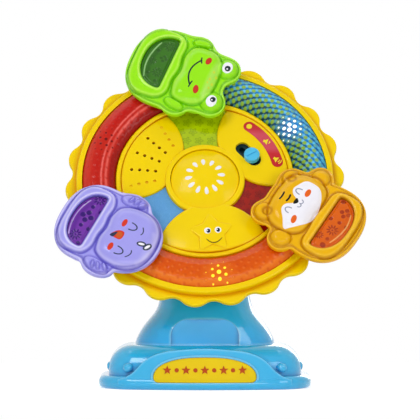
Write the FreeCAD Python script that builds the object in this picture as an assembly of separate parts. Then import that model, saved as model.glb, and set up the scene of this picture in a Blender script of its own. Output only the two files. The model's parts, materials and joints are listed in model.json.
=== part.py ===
import FreeCAD, Part
import math
import os

os.makedirs("parts", exist_ok=True)
Vec = FreeCAD.Vector
X = Vec(1, 0, 0)
Y = Vec(0, 1, 0)
Z = Vec(0, 0, 1)
ORIGIN = Vec(0, 0, 0)

# Millimetres. The origin is under the middle of the base, X to the right, Y away, Z up.
# Everything on the wheel is modelled flat, with its hub at the origin and its face up.

# Stance of the wheel on its neck
wheel_lean = 31.0
hub_y = -10.0
hub_z = 145.0
rest_turn = 6.0

# Base
floor_bottom = 0.8
floor_top = 3.2
rim_width = 6.2
base_half_width = 74.2
base_half_depth = 54.0
base_bow = 14.0
base_corner = 30.0
lip_top = 9.2
plinth_inset = 6.8
plinth_top = 30.0
plinth_shoulder = 17.0
wall = 2.4
stud_x = 52.4
stud_z = 15.0
stud_radius = 3.3
stud_front = -37.4
stud_side = 62.4
stud_side_y = -17.0
fascia_top = 28.8
plate_half_width = 35.7
plate_bottom = 5.4
plate_top = 22.8
plate_thickness = 1.6
foot_radius = 8.0
foot_x = 52.0
foot_y = 31.0
base_screw_x = 60.0
base_screw_y = 22.0
boss_radius = 4.0
screw_bore = 1.4
screw_clearance = 1.7

# Neck
neck_levels = [plinth_top, 36.0, 42.0, 48.0, 54.0, 61.0, 72.0, 88.0, 104.0, 113.0, 120.0]
neck_half_widths = [49.0, 46.8, 43.2, 38.3, 33.9, 31.9, 30.4, 29.4, 28.6, 26.6, 23.0]
neck_fronts = [-29.0, -28.6, -27.4, -25.4, -22.8, -19.2, -12.8, -3.2, 6.6, 12.5, 17.5]
neck_backs = [43.0, 41.0, 39.4, 38.4, 38.0, 38.2, 39.2, 40.8, 42.4, 42.2, 40.2]
neck_squareness = 2.5
neck_foot = 9.0
recess_half_width = 23.8
recess_top = 48.0
recess_corner = 12.0
recess_depth = 5.0
head_radius = 31.0
head_front = -32.0
head_back = -64.0
head_dome = 38.0
head_front_edge = 5.0
head_back_edge = 9.0
bush_bore = 6.05
bush_radius = 10.0
neck_screw_spots = [(-30.0, -10.0), (30.0, -10.0), (-24.0, 30.0), (24.0, 30.0)]

# Wheel
spokes = [36.0 - rest_turn, 156.0 - rest_turn, 276.0 - rest_turn]
pivots = [96.0 - rest_turn, 216.0 - rest_turn, 336.0 - rest_turn]
switch_spoke, speaker_spoke, star_spoke = spokes
lobes = 22
lobe_tip = 97.8
lobe_valley = 93.1
lobe_arc = 12.0
flange_top = -4.2
flange_thickness = 3.0
rim_outer = 90.0
rim_inner = 86.1
ring_inner = 62.3
frame_inner = 58.9
web_thickness = 2.4
division_half_angle = 9.0
collar_outer = 28.0
button_radius = 24.0
petal_distance = 59.1
petal_radius = 39.3
petal_crown = 4.0
petal_peak = 43.0
switch_crown = 2.2
switch_sphere = 320.0
collar_top = 1.8
collar_round = 1.3
frame_top = 1.6
button_dome = 50.0
button_top = 6.5
bezel_radius = 27.3
star_distance = 44.5
star_dome = 70.0
star_rise = 1.1
star_foot = -0.6
petal_shapes = [(switch_spoke, switch_crown, switch_sphere), (speaker_spoke, 1.6, 400.0),
                (star_spoke, petal_crown, 150.0)]
petal_edge = 1.4
pivot_distance = 77.0
pivot_post = 8.1
rear_back = -28.0
hub_back = -31.0
hub_radius = 22.0
battery_spoke = star_spoke + 26.0
cell_radius = 5.25
cell_length = 43.3
cell_pitch = 11.2
door_length = 57.4
door_width = 40.4
door_thickness = 1.6
door_screw_x = 26.0
axle_radius = 6.0
axle_top = -14.0
axle_end = -52.3
board_bottom = -11.2
board_top = -9.6

# Controls and lights
led_spots = [(star_spoke, 76.0), (speaker_spoke, 76.0), (switch_spoke, 72.0)]
lamp_radius = 2.5
lamp_seat = -6.2
lamp_shoulder = -1.4
slot_distance = 36.4
slot_turn = -2.7
slot_swing = 6.0
slot_length = 22.0
slot_width = 9.6
knob_radius = 5.5
knob_offset = 3.6
knob_bottom = 2.7
knob_top = 6.6
cover_bottom = -2.4
cover_top = -1.3
slit_width = 4.0
label_distance = 52.5
label_half_width = 4.0
label_start = -21.0
label_end = 17.6
label_thickness = 0.25

# Gondolas, each in its own frame: pivot at the origin, head up
basket_screw_x = 17.0
basket_screw_y = 6.0
gondola_back = 8.4
gondola_joint = 10.6
gondola_plate = 12.6
gondola_rim = 14.2
gondola_face = 17.0
pin_radius = 3.0

wheel_frame = FreeCAD.Placement(
    Vec(0, hub_y, hub_z), FreeCAD.Rotation(X, 90.0 - wheel_lean)
).multiply(FreeCAD.Placement(ORIGIN, FreeCAD.Rotation(Z, rest_turn)))


# General shaping

def save(name, *solids):
    shape = solids[0] if len(solids) == 1 else Part.makeCompound(list(solids))
    shape.exportStep("parts/" + name + ".step")
    print(name, len(shape.Solids), round(shape.Volume, 1))


def on_wheel(*solids):
    placed = []
    for solid in solids:
        copy = solid.copy()
        copy.Placement = wheel_frame.multiply(copy.Placement)
        placed.append(copy)
    return placed


def polar(radius, degrees, height=0.0):
    angle = math.radians(degrees)
    return Vec(radius * math.cos(angle), radius * math.sin(angle), height)


def moved(shape, x, y, z=0.0):
    copy = shape.copy()
    copy.translate(Vec(x, y, z))
    return copy


def turned(shape, degrees, axis=Z, centre=ORIGIN):
    copy = shape.copy()
    copy.rotate(centre, axis, degrees)
    return copy


def disc(radius, bottom, top, x=0.0, y=0.0):
    return Part.makeCylinder(radius, top - bottom, Vec(x, y, bottom))


def block(width, depth, bottom, top, x=0.0, y=0.0):
    return Part.makeBox(width, depth, top - bottom, Vec(x - width / 2, y - depth / 2, bottom))


def prism(face, bottom, top):
    return moved(face, 0, 0, bottom).extrude(Vec(0, 0, top - bottom))


def arc(start, middle, end):
    return Part.Arc(start, middle, end).toShape()


def line(start, end):
    return Part.makeLine(start, end)


def face_of(edges):
    return Part.Face(Part.Wire(Part.__sortEdges__(edges)))


def lathe(profile, span=360.0):
    # profile points are (radius, height), joined by straight lines
    points = [Vec(radius, 0, height) for radius, height in profile]
    return Part.Face(Part.makePolygon(points + points[:1])).revolve(ORIGIN, Z, span)


def joined(shapes):
    return shapes[0].fuse(list(shapes[1:])).removeSplitter()


def without(shape, tools):
    return shape.cut(list(tools))


def rounded(shape, radius, wanted):
    return shape.makeFillet(radius, [edge for edge in shape.Edges if wanted(edge)])


def at_height(height, reach=0.01):
    # picks edges that lie in one level plane
    def wanted(edge):
        box = edge.BoundBox
        return abs(box.ZMin - height) < reach and abs(box.ZMax - height) < reach
    return wanted


def upright(low, high, reach=0.01):
    # picks straight edges that run from one level to another
    def wanted(edge):
        box = edge.BoundBox
        level = box.XLength < reach and box.YLength < reach
        return level and abs(box.ZMin - low) < reach and abs(box.ZMax - high) < reach
    return wanted


def circle_edge(radius, height, reach=0.01):
    def wanted(edge):
        box = edge.BoundBox
        if box.ZLength > reach or abs(box.ZMin - height) > reach:
            return False
        middle = edge.valueAt((edge.FirstParameter + edge.LastParameter) / 2)
        return abs(math.hypot(middle.x, middle.y) - radius) < reach
    return wanted


def round_face(x, y, radius):
    return Part.Face(Part.Wire([Part.Circle(Vec(x, y, 0), Z, radius).toShape()]))


def oval_face(x, y, half_width, half_height, power, count=24):
    # a superellipse: power 2 is an ellipse, more is squarer
    points = []
    for step in range(count):
        angle = math.radians(360.0 * step / count)
        cosine, sine = math.cos(angle), math.sin(angle)
        across = math.copysign(abs(cosine) ** (2.0 / power), cosine)
        up = math.copysign(abs(sine) ** (2.0 / power), sine)
        points.append(Vec(x + half_width * across, y + half_height * up, 0))
    curve = Part.BSplineCurve()
    curve.interpolate(points, PeriodicFlag=True)
    return Part.Face(Part.Wire([curve.toShape()]))


def ring_sector(inner, outer, start, end):
    middle = (start + end) / 2
    return face_of([
        arc(polar(inner, start), polar(inner, middle), polar(inner, end)),
        arc(polar(outer, start), polar(outer, middle), polar(outer, end)),
        line(polar(inner, start), polar(outer, start)),
        line(polar(inner, end), polar(outer, end)),
    ])


def screw(x, y, seat, tip, head_radius=2.9, shank_radius=1.4):
    # a pan-head screw standing on its head: the head is at the seat, the shank runs to the tip
    way = 1.0 if tip > seat else -1.0
    low, high = sorted([seat, seat - way * 1.8])
    head = disc(head_radius, low, high, x, y)
    head = rounded(head, 0.7, at_height(seat - way * 1.8))
    low, high = sorted([seat, tip])
    return head.fuse(disc(shank_radius, low, high, x, y))


# Base

def base_outline(inset):
    # bowed front and back, straight sides
    half_width = base_half_width - inset
    half_depth = base_half_depth - inset
    side = half_depth - base_bow
    return face_of([
        arc(Vec(-half_width, -side, 0), Vec(0, -half_depth, 0), Vec(half_width, -side, 0)),
        line(Vec(half_width, -side, 0), Vec(half_width, side, 0)),
        arc(Vec(half_width, side, 0), Vec(0, half_depth, 0), Vec(-half_width, side, 0)),
        line(Vec(-half_width, side, 0), Vec(-half_width, -side, 0)),
    ])


def base_prism(inset, bottom, top, corner):
    return rounded(prism(base_outline(inset), bottom, top), corner, upright(bottom, top))


def plinth_form(inset):
    # lip with a round edge, and the body with a large shoulder on it
    bottom = floor_top if inset else 0.0
    lip = base_prism(inset, bottom, lip_top - inset, base_corner - inset)
    if not inset:
        lip = rounded(lip, lip_top / 2 - 0.05, at_height(lip_top))
        lip = rounded(lip, lip_top / 2 - 1.0, at_height(0))
    body = base_prism(plinth_inset + inset, bottom, plinth_top - inset,
                      base_corner - plinth_inset - inset)
    body = rounded(body, plinth_shoulder - inset, at_height(plinth_top - inset))
    return lip, body


def fascia_profile():
    # arch over the nameplate that sweeps down to the lip on both sides
    half = [Vec(60.5, 0, 7.2), Vec(53.4, 0, 9.8), Vec(48.4, 0, 13.6), Vec(44.4, 0, 18.0),
            Vec(38.6, 0, 22.6), Vec(30.0, 0, 26.0), Vec(16.0, 0, 28.0)]
    points = half + [Vec(0, 0, fascia_top)] + [Vec(-p.x, 0, p.z) for p in reversed(half)]
    curve = Part.BSplineCurve()
    curve.interpolate(points)
    low_left = Vec(-60.5, 0, floor_top)
    low_right = Vec(60.5, 0, floor_top)
    return face_of([curve.toShape(), line(points[-1], low_left), line(low_left, low_right),
                    line(low_right, points[0])])


def nameplate_profile(grow=0.0):
    # half an oval on a flat bottom, with small round corners
    half_width = plate_half_width + grow
    top = plate_top + grow
    bottom = plate_bottom - grow
    corner = 3.4 + grow
    steps = 12
    points = []
    for step in range(steps + 1):
        angle = math.pi * step / steps
        across = math.copysign(abs(math.cos(angle)) ** 0.8, math.cos(angle))
        height = bottom + corner + (top - bottom - corner) * math.sin(angle) ** 0.92
        points.append(Vec(half_width * across, 0, height))
    curve = Part.BSplineCurve()
    curve.interpolate(points)
    slide = corner * (1 - math.sqrt(0.5))
    left = Vec(-half_width + corner, 0, bottom)
    right = Vec(half_width - corner, 0, bottom)
    return face_of([
        curve.toShape(),
        arc(points[-1], Vec(-half_width + slide, 0, bottom + slide), left),
        line(left, right),
        arc(right, Vec(half_width - slide, 0, bottom + slide), points[0]),
    ])


def front_slice(profile, outer_inset, inner_inset):
    # the profile, cut across by two outlines of the base so that it follows the bow
    bar = moved(profile, 0, -base_half_depth - 5, 0).extrude(Vec(0, 30, 0))
    outer = prism(base_outline(outer_inset), 0, 40)
    inner = prism(base_outline(inner_inset), 0, 40)
    return bar.common(outer).cut(inner)


def plinth():
    lip, body = plinth_form(0.0)
    fascia = moved(fascia_profile(), 0, -base_half_depth, 0).extrude(Vec(0, 34, 0))
    fascia = fascia.common(prism(base_outline(0.9), 0, 40))
    shape = joined([lip, body, fascia])
    inner_lip, inner_body = plinth_form(wall)
    opening = base_prism(rim_width, -1, floor_top, base_corner - rim_width)
    shape = without(shape, [inner_body, inner_lip, opening])
    shape = shape.cut(front_slice(nameplate_profile(0.25), -5.0, 0.9 + plate_thickness))
    posts = []
    for x in (-base_screw_x, base_screw_x):
        for y in (-base_screw_y, base_screw_y):
            posts.append(disc(boss_radius, floor_top, 16.0, x, y))
    for x, y in neck_screw_spots:
        posts.append(disc(boss_radius, plinth_top - 8.0, plinth_top - wall + 0.2, x, y))
    centres = [post.CenterOfMass for post in posts[:4]]
    bores = [disc(screw_bore, 0, 15.0, centre.x, centre.y) for centre in centres]
    bores += [disc(screw_clearance, plinth_top - 9.0, plinth_top + 1, x, y)
              for x, y in neck_screw_spots]
    shape = without(joined([shape] + posts), bores)
    return joined([shape, plate_bead()] + plinth_studs())


def plate_bead():
    # a raised line round the nameplate
    outer = front_slice(nameplate_profile(1.7), 0.4, 2.2)
    return outer.cut(front_slice(nameplate_profile(0.6), -5.0, 5.0))


def plinth_studs():
    # round studs, one on the front at each side of the arch and one on each side
    studs = []
    for x in (-stud_x, stud_x):
        lean = math.degrees(math.atan2(x, 150.0))
        studs.append(moved(turned(stud_form(), lean), x, stud_front, stud_z))
        aside = turned(stud_form(), 90.0 if x > 0 else -90.0)
        studs.append(moved(aside, math.copysign(stud_side, x), stud_side_y, stud_z))
    return studs


def stud_form():
    stud = Part.makeCylinder(stud_radius, 6.0, ORIGIN, Vec(0, -1, 0))
    return rounded(stud, stud_radius - 0.8, lambda edge: edge.BoundBox.YMax < -5.9)


def nameplate():
    return front_slice(nameplate_profile(), 1.4, 0.9 + plate_thickness)


def bottom_plate():
    floor = base_prism(rim_width + 0.2, floor_bottom, floor_top, base_corner - rim_width)
    holes = []
    for x in (-base_screw_x, base_screw_x):
        for y in (-base_screw_y, base_screw_y):
            holes.append(disc(screw_clearance, 0, floor_top + 1, x, y))
            holes.append(disc(3.3, 0, floor_bottom + 1.6, x, y))
    for x in (-foot_x, foot_x):
        for y in (-foot_y, foot_y):
            holes.append(disc(foot_radius, 0, floor_bottom + 1.0, x, y))
    return without(floor, holes)


def feet():
    pads = []
    for x in (-foot_x, foot_x):
        for y in (-foot_y, foot_y):
            pad = disc(foot_radius, 0, floor_bottom + 1.0, x, y)
            pads.append(rounded(pad, 0.4, at_height(0)))
    return pads


def base_screws():
    screws = []
    for x in (-base_screw_x, base_screw_x):
        for y in (-base_screw_y, base_screw_y):
            screws.append(screw(x, y, floor_bottom + 1.6, 13.0, 2.8))
    return screws


# Neck

def neck_section(index, inset):
    half_width = neck_half_widths[index] - inset
    front = neck_fronts[index] + inset
    back = neck_backs[index] - inset
    face = oval_face(0, (front + back) / 2, half_width, (back - front) / 2, neck_squareness)
    return moved(face, 0, 0, neck_levels[index]).OuterWire


def head_form(inset):
    # a drum on the wheel's axis with a domed back
    radius = head_radius - inset
    front = head_front - inset
    middle = head_back + head_dome
    drum = disc(radius, head_back - 1.0, front)
    drum = drum.common(Part.makeSphere(head_dome - inset, Vec(0, 0, middle)))
    drum = rounded(drum, head_back_edge - inset, lambda edge: edge.Length > radius
                   and abs(edge.BoundBox.ZLength) < 0.01 and edge.BoundBox.ZMax < front - 1.0)
    drum = rounded(drum, head_front_edge - inset, circle_edge(radius, front))
    return on_wheel(drum)[0]


def neck_form(inset):
    sections = [neck_section(index, inset) for index in range(len(neck_levels))]
    column = Part.makeLoft(sections, True, False)
    return column.fuse(head_form(inset))


def split_plane_side(front):
    # a big block on one side of the seam between the two neck shells
    width, depth, height = 160.0, 140.0, 220.0
    side = Part.makeBox(width, depth, height, Vec(-width / 2, -depth if front else 0, -40))
    side.rotate(ORIGIN, X, -18.0)
    side.translate(Vec(0, 6.0, plinth_top))
    return side


def recess_tool():
    # arched shallow panel in the neck's front
    half, top = recess_half_width, recess_top
    bend = recess_corner * (1 - math.sqrt(0.5))
    low = plinth_top - 1
    face = face_of([
        line(Vec(-half, 0, low), Vec(half, 0, low)),
        line(Vec(half, 0, low), Vec(half, 0, top - recess_corner)),
        arc(Vec(half, 0, top - recess_corner), Vec(half - bend, 0, top - bend),
            Vec(half - recess_corner, 0, top)),
        line(Vec(half - recess_corner, 0, top), Vec(-half + recess_corner, 0, top)),
        arc(Vec(-half + recess_corner, 0, top), Vec(-half + bend, 0, top - bend),
            Vec(-half, 0, top - recess_corner)),
        line(Vec(-half, 0, top - recess_corner), Vec(-half, 0, low)),
    ])
    return moved(face, 0, -60, 0).extrude(Vec(0, 60 + neck_fronts[0] + recess_depth, 0))


def neck_shells():
    # the foot runs down the plinth's shoulder behind, and a panel closes the recess
    foot = moved(Part.Face(neck_section(0, 0.0)), 0, 0, -neck_foot).extrude(Vec(0, 0, neck_foot))
    outer = without(neck_form(0.0).fuse(foot), [recess_tool(), plinth_form(0.0)[1]])
    floor = block(120.0, 120.0, plinth_top - 5, plinth_top + wall)
    panel_back = neck_fronts[0] + recess_depth + wall
    panel = block(2 * (recess_half_width + wall), 60.0, plinth_top - 5, recess_top + wall,
                  0.0, panel_back - 30.0)
    inner = without(neck_form(wall + 1.2), [floor, panel])
    pads = [disc(boss_radius + 0.2, plinth_top, plinth_top + 9.0, x, y)
            for x, y in neck_screw_spots]
    bores = [disc(screw_bore, plinth_top - 1, plinth_top + 8.0, x, y)
             for x, y in neck_screw_spots]
    hollow = without(joined([outer.cut(inner)] + pads), bores)
    bore = on_wheel(disc(bush_radius, head_front - 21, head_front + 1))[0]
    shells = []
    for front in (True, False):
        shells.append(hollow.common(split_plane_side(front)))
    tube = on_wheel(disc(bush_radius + 2.6, head_front - 19.0, head_front - 1))[0]
    front_shell = without(joined([shells[0], tube]), [bore])
    rear_shell = without(shells[1], [tube])
    return front_shell, rear_shell


def neck_screws():
    seat = plinth_top - 8.0
    return [screw(x, y, seat, plinth_top + 7.0) for x, y in neck_screw_spots]


def hub_bush():
    sleeve = disc(bush_radius, head_front - 20.0, head_front)
    flange = disc(15.0, head_front, head_front + 0.7)
    bore = disc(bush_bore, head_front - 21.0, head_front + 1.0)
    return sleeve.fuse(flange).cut(bore)


# Wheel

def scalloped_face():
    # tip arcs and valley arcs that run into each other without a corner
    half_step = 180.0 / lobes
    tip_centre = lobe_tip - lobe_arc
    hollow = lobe_valley - lobe_arc
    cosine = math.cos(math.radians(half_step))
    valley_centre = (tip_centre ** 2 - hollow ** 2) / (2 * (tip_centre * cosine - hollow))
    valley_arc = valley_centre - lobe_valley
    share = lobe_arc / (lobe_arc + valley_arc)
    edges = []
    for lobe in range(lobes):
        angle = 3.6 - rest_turn + 2 * half_step * lobe
        centre = polar(tip_centre, angle)
        before = centre + (polar(valley_centre, angle - half_step) - centre) * share
        after = centre + (polar(valley_centre, angle + half_step) - centre) * share
        next_centre = polar(tip_centre, angle + 2 * half_step)
        valley = polar(valley_centre, angle + half_step)
        following = next_centre + (valley - next_centre) * share
        edges.append(arc(before, polar(lobe_tip, angle), after))
        edges.append(arc(after, polar(lobe_valley, angle + half_step), following))
    return Part.Face(Part.Wire(edges))


def petal_form(spoke, crown, sphere, grow=0.0):
    # a round petal, cut off by the frame ring and crowned by a large sphere
    centre = polar(petal_distance, spoke)
    petal = disc(petal_radius + grow, -web_thickness, 14.0, centre.x, centre.y)
    petal = petal.common(disc(frame_inner + grow, -web_thickness, 14.0))
    top = polar(petal_peak, spoke, crown + grow - sphere)
    return petal.common(Part.makeSphere(sphere, top, Y))


def solid_petal(spoke, crown, sphere):
    petal = petal_form(spoke, crown, sphere)
    soft = [edge for edge in petal.Edges if edge.BoundBox.ZMax > -web_thickness + 0.1
            and edge.BoundBox.ZMin > -web_thickness + 0.1]
    return petal.makeFillet(petal_edge, soft)


def web_face(inset):
    # the space between two petals, the collar and the frame ring
    span = 59.0
    face = ring_sector(collar_outer + inset, frame_inner - inset, -span, span)
    for side in (-60.0, 60.0):
        centre = polar(petal_distance, side)
        circle = Part.Circle(centre, Z, petal_radius + inset).toShape()
        face = face.cut(Part.Face(Part.Wire([circle])))
    return face


def stadium(length, width, bottom, top):
    half = length / 2 - width / 2
    face = face_of([
        line(Vec(-half, -width / 2, 0), Vec(half, -width / 2, 0)),
        arc(Vec(half, -width / 2, 0), Vec(half + width / 2, 0, 0), Vec(half, width / 2, 0)),
        line(Vec(half, width / 2, 0), Vec(-half, width / 2, 0)),
        arc(Vec(-half, width / 2, 0), Vec(-half - width / 2, 0, 0), Vec(-half, -width / 2, 0)),
    ])
    return prism(face, bottom, top)


def beside_slot(shape):
    # from slot coordinates, with X along the knob's travel, to the switch petal
    centre = polar(slot_distance, switch_spoke + slot_turn)
    turned_shape = turned(shape, switch_spoke - 90.0 + slot_swing)
    return moved(turned_shape, centre.x, centre.y)


def star_face(outer, inner, spoke):
    # five broad points with round tips, one towards the hub
    centre = polar(star_distance, spoke)
    points = []
    for step in range(10):
        reach = outer if step % 2 == 0 else inner
        points.append(centre + polar(reach, spoke + 180.0 + 36.0 * step))
    return Part.Face(Part.makePolygon(points + points[:1]))


def star_relief():
    star = prism(star_face(17.5, 9.4, star_spoke), star_foot, 12.0)
    star = rounded(star, 2.2, upright(star_foot, 12.0))
    top = polar(star_distance, star_spoke, petal_crown + star_rise - star_dome)
    star = star.common(Part.makeSphere(star_dome, top))
    soft = [edge for edge in star.Edges if edge.BoundBox.ZMin > star_foot + 0.1]
    return star.makeFillet(1.1, soft)


def speaker_rows(rows, radius, bottom):
    # rows of four that spread a little towards the rim
    holes = []
    for row in rows:
        for step in range(4):
            spot = polar(35.1 + 5.6 * step, speaker_spoke + row * (0.88 + 0.04 * step))
            holes.append(disc(radius, bottom, 14.0, spot.x, spot.y))
    return holes


def speaker_holes():
    return speaker_rows((-15.5, 0.0, 15.5), 1.15, -5.0) + speaker_rows((-30.0, 30.0), 1.1, 0.4)


def front_shell():
    flange = prism(scalloped_face(), flange_top - flange_thickness, flange_top)
    flange = rounded(flange, 0.9, at_height(flange_top))
    flange = flange.cut(disc(rim_outer - web_thickness, -20, 0))
    disc_body = disc(rim_outer, -web_thickness, 0).cut(disc(frame_inner, -5, 5))
    skirt = disc(rim_outer, flange_top - flange_thickness, 1.0)
    skirt = skirt.cut(disc(rim_outer - web_thickness, -20, -web_thickness))
    skirt = rounded(skirt, 1.2, circle_edge(rim_outer, 1.0))
    skirt = skirt.cut(disc(rim_inner, 0, 5))
    ring = disc(ring_inner, -web_thickness, frame_top).cut(disc(frame_inner, -5, 5))
    ring = rounded(ring, 1.2, lambda edge: circle_edge(ring_inner, frame_top)(edge)
                   or circle_edge(frame_inner, frame_top)(edge))
    shell = joined([disc_body, skirt, ring, flange]).cut(disc(frame_inner, -5, 5))
    cuts = []
    for pivot in pivots:
        sector = ring_sector(ring_inner, rim_inner, pivot + division_half_angle,
                             pivot + 120.0 - division_half_angle)
        cuts.append(prism(sector, -5, 5))
    shell = without(shell, cuts)
    petals = [solid_petal(*shape) for shape in petal_shapes] + [star_relief()]
    collar = disc(collar_outer, -web_thickness, collar_top)
    collar = rounded(collar, collar_round, circle_edge(collar_outer, collar_top))
    posts = []
    for pivot in pivots:
        foot = polar(pivot_distance, pivot)
        post = Part.makeCone(8.6, 6.4, pivot_post + web_thickness, Vec(foot.x, foot.y, -web_thickness))
        posts.append(post)
    shell = joined([shell] + petals + [collar] + posts)
    hollows = []
    for shape in petal_shapes:
        hollow = petal_form(*shape, -web_thickness)
        hollows.append(hollow.cut(disc(collar_outer, -20, 20)))
    bore = disc(button_radius + 0.3, -20, 20)
    slot = beside_slot(stadium(slot_length, slot_width, -20, 20))
    shell = without(shell, hollows + [bore, slot] + speaker_holes())
    for pivot in pivots:
        foot = polar(pivot_distance, pivot)
        shell = shell.cut(disc(pin_radius, -20, 20, foot.x, foot.y))
    return joined([shell] + screw_posts())


def post_spots():
    spots = [polar(66.5, pivot) for pivot in pivots]
    return spots + [polar(52.0, spoke - 27.0) for spoke in spokes]


def screw_posts():
    posts = []
    for spot in post_spots():
        under_petal = math.hypot(spot.x, spot.y) < frame_inner
        top = 0.0 if under_petal else -web_thickness + 0.6
        post = disc(3.6, rear_back + 3.4, top, spot.x, spot.y)
        posts.append(post.cut(disc(1.4, rear_back, -8.0, spot.x, spot.y)))
    return posts


def rear_shell():
    top = flange_top - flange_thickness
    spigot = rim_outer - web_thickness - 0.1
    outer = lathe([(0, top + 3.0), (spigot, top + 3.0), (spigot, top), (89.0, top), (87.0, -14.0),
                   (80.0, -24.0), (73.0, rear_back), (26.0, rear_back), (hub_radius, hub_back),
                   (0, hub_back)])
    outer = rounded(outer, 3.0, lambda edge: circle_edge(80.0, -24.0)(edge)
                    or circle_edge(73.0, rear_back)(edge))
    outer = rounded(outer, 1.2, circle_edge(hub_radius, hub_back))
    inner = lathe([(0, 0), (85.0, 0), (85.0, -12.2), (78.4, -22.4), (72.2, rear_back + wall),
                   (0, rear_back + wall)])
    shell = outer.cut(inner)
    hub = disc(11.0, hub_back, board_bottom)
    door_cut = battery_place(block(door_length + 0.6, door_width + 0.6, rear_back - 1,
                                   rear_back + door_thickness))
    well = battery_place(block(46.0, 37.0, rear_back - 1, -15.4))
    tray = battery_place(block(57.0, 40.0, rear_back + 0.5, board_bottom))
    stands = []
    for spoke, radius in led_spots:
        spot = polar(radius - 3.5, spoke)
        stands.append(disc(2.4, rear_back + 1.0, lamp_seat - 1.2, spot.x, spot.y))
    screw_hole = battery_place(disc(screw_bore, rear_back - 1, rear_back + 8.0, door_screw_x, 0))
    cuts = [door_cut, well, screw_hole, disc(axle_radius, -40, axle_top)]
    shell = without(joined([shell, hub, tray] + stands), cuts)
    spots = post_spots()
    counterbores = [disc(4.4, -40, rear_back + 3.4, s.x, s.y) for s in spots]
    pillars = [disc(6.0, rear_back + 0.5, rear_back + 5.0, s.x, s.y) for s in spots]
    pillar_bores = [disc(3.7, rear_back + 3.3, 0, s.x, s.y) for s in spots]
    seats = [disc(4.4, rear_back + 1.8, rear_back + 3.3, s.x, s.y) for s in spots]
    shank_holes = [disc(1.6, rear_back, rear_back + 4, s.x, s.y) for s in spots]
    shell = without(joined([shell] + pillars), counterbores + pillar_bores)
    seats = [seat.cut(hole) for seat, hole in zip(seats, shank_holes)]
    return joined([shell] + seats)


def battery_place(shape):
    # batteries sit in the side of the wheel away from the speaker
    centre = polar(50.0, battery_spoke)
    return moved(turned(shape, battery_spoke + 90.0), centre.x, centre.y)


def battery_door():
    door = block(door_length, door_width, rear_back, rear_back + door_thickness)
    door = rounded(door, 2.0, upright(rear_back, rear_back + door_thickness))
    grip = [block(1.2, 12.0, rear_back - 0.1, rear_back + 0.5, x, 0) for x in (-24, -21.5, -19)]
    hole = disc(1.6, rear_back - 1, rear_back + 3, door_screw_x, 0)
    head = disc(3.0, rear_back - 1, rear_back + 0.9, door_screw_x, 0)
    return battery_place(without(door, grip + [hole, head]))


def batteries():
    cells = []
    for row in (-1, 0, 1):
        way = -1 if row == 0 else 1
        level = rear_back + 1.9 + cell_radius
        start = Vec(-21.9 * way, row * cell_pitch, level)
        body = Part.makeCylinder(cell_radius, cell_length, start, Vec(way, 0, 0))
        end = Vec(21.4 * way, row * cell_pitch, level)
        tip = Part.makeCylinder(1.9, 1.0, end, Vec(way, 0, 0))
        cells.append(battery_place(body.fuse(tip)))
    return cells


def battery_contacts():
    plates = []
    for side in (-1, 1):
        for row in (-1, 0, 1):
            plate = block(0.6, 9.0, rear_back + 2.4, rear_back + 11.4, side * 22.7,
                          row * cell_pitch)
            plates.append(battery_place(plate))
    return plates


def ring_window(pivot):
    # a bulging tube section with a step on its inner side, and a clamping lip below
    span = 120.0 - 2 * division_half_angle
    inner = ring_inner + 0.1
    outer = rim_inner - 0.1
    inner_lip = inner - 1.5
    outer_lip = outer + 1.4
    section = [
        arc(Vec(outer, 0, -0.4), Vec(81.6, 0, 4.3), Vec(74.5, 0, 5.9)),
        line(Vec(74.5, 0, 5.9), Vec(70.6, 0, 5.7)),
        line(Vec(70.6, 0, 5.7), Vec(66.6, 0, 3.9)),
        arc(Vec(66.6, 0, 3.9), Vec(64.0, 0, 2.2), Vec(inner, 0, -0.4)),
        line(Vec(inner, 0, -0.4), Vec(inner, 0, -web_thickness)),
        line(Vec(inner, 0, -web_thickness), Vec(inner_lip, 0, -web_thickness)),
        line(Vec(inner_lip, 0, -web_thickness), Vec(inner_lip, 0, -4.0)),
        line(Vec(inner_lip, 0, -4.0), Vec(65.0, 0, -4.0)),
        line(Vec(65.0, 0, -4.0), Vec(68.0, 0, 2.2)),
        arc(Vec(68.0, 0, 2.2), Vec(74.2, 0, 3.9), Vec(80.6, 0, 2.2)),
        line(Vec(80.6, 0, 2.2), Vec(83.4, 0, -4.0)),
        line(Vec(83.4, 0, -4.0), Vec(outer_lip, 0, -4.0)),
        line(Vec(outer_lip, 0, -4.0), Vec(outer_lip, 0, -web_thickness)),
        line(Vec(outer_lip, 0, -web_thickness), Vec(outer, 0, -web_thickness)),
        line(Vec(outer, 0, -web_thickness), Vec(outer, 0, -0.4)),
    ]
    glass = face_of(section).revolve(ORIGIN, Z, span - 0.3)
    return turned(glass, pivot + division_half_angle + 0.15)


def web_window(pivot):
    pane = prism(web_face(0.1), -web_thickness, -1.2)
    lip = prism(web_face(-1.2), -4.0, -web_thickness)
    lip = lip.cut(disc(collar_outer - 0.5, -20, 20))
    return turned(pane.fuse(lip), pivot)


# Button

def button_cap():
    # a domed cap whose skirt slides in the collar
    crown = Part.makeSphere(button_dome, Vec(0, 0, button_top - button_dome))
    cap = disc(button_radius, -4.4, 14.0).common(crown)
    cap = rounded(cap, 1.2, lambda edge: edge.BoundBox.ZMin > 0.0)
    flange = disc(button_radius + 1.8, -4.4, -2.7)
    below = Part.makeSphere(button_dome - 2.0, Vec(0, 0, button_top - button_dome))
    hollow = disc(button_radius - 2.0, -7.0, 14.0).common(below)
    plunger = disc(3.2, -3.0, 5.0)
    guide = disc(7.4, -2.0, 5.0).cut(disc(6.2, -7.0, 4.6))
    return joined([joined([cap, flange]).cut(hollow), plunger, guide])


def button_bezel():
    # guide ring under the collar that stops the cap from coming out
    ring = disc(bezel_radius, board_top, -8.0).cut(disc(button_radius - 2.6, -20, 0))
    wall_ring = disc(bezel_radius, board_top, -web_thickness).cut(disc(bezel_radius - 1.2, -20, 0))
    return joined([ring, wall_ring])


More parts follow.
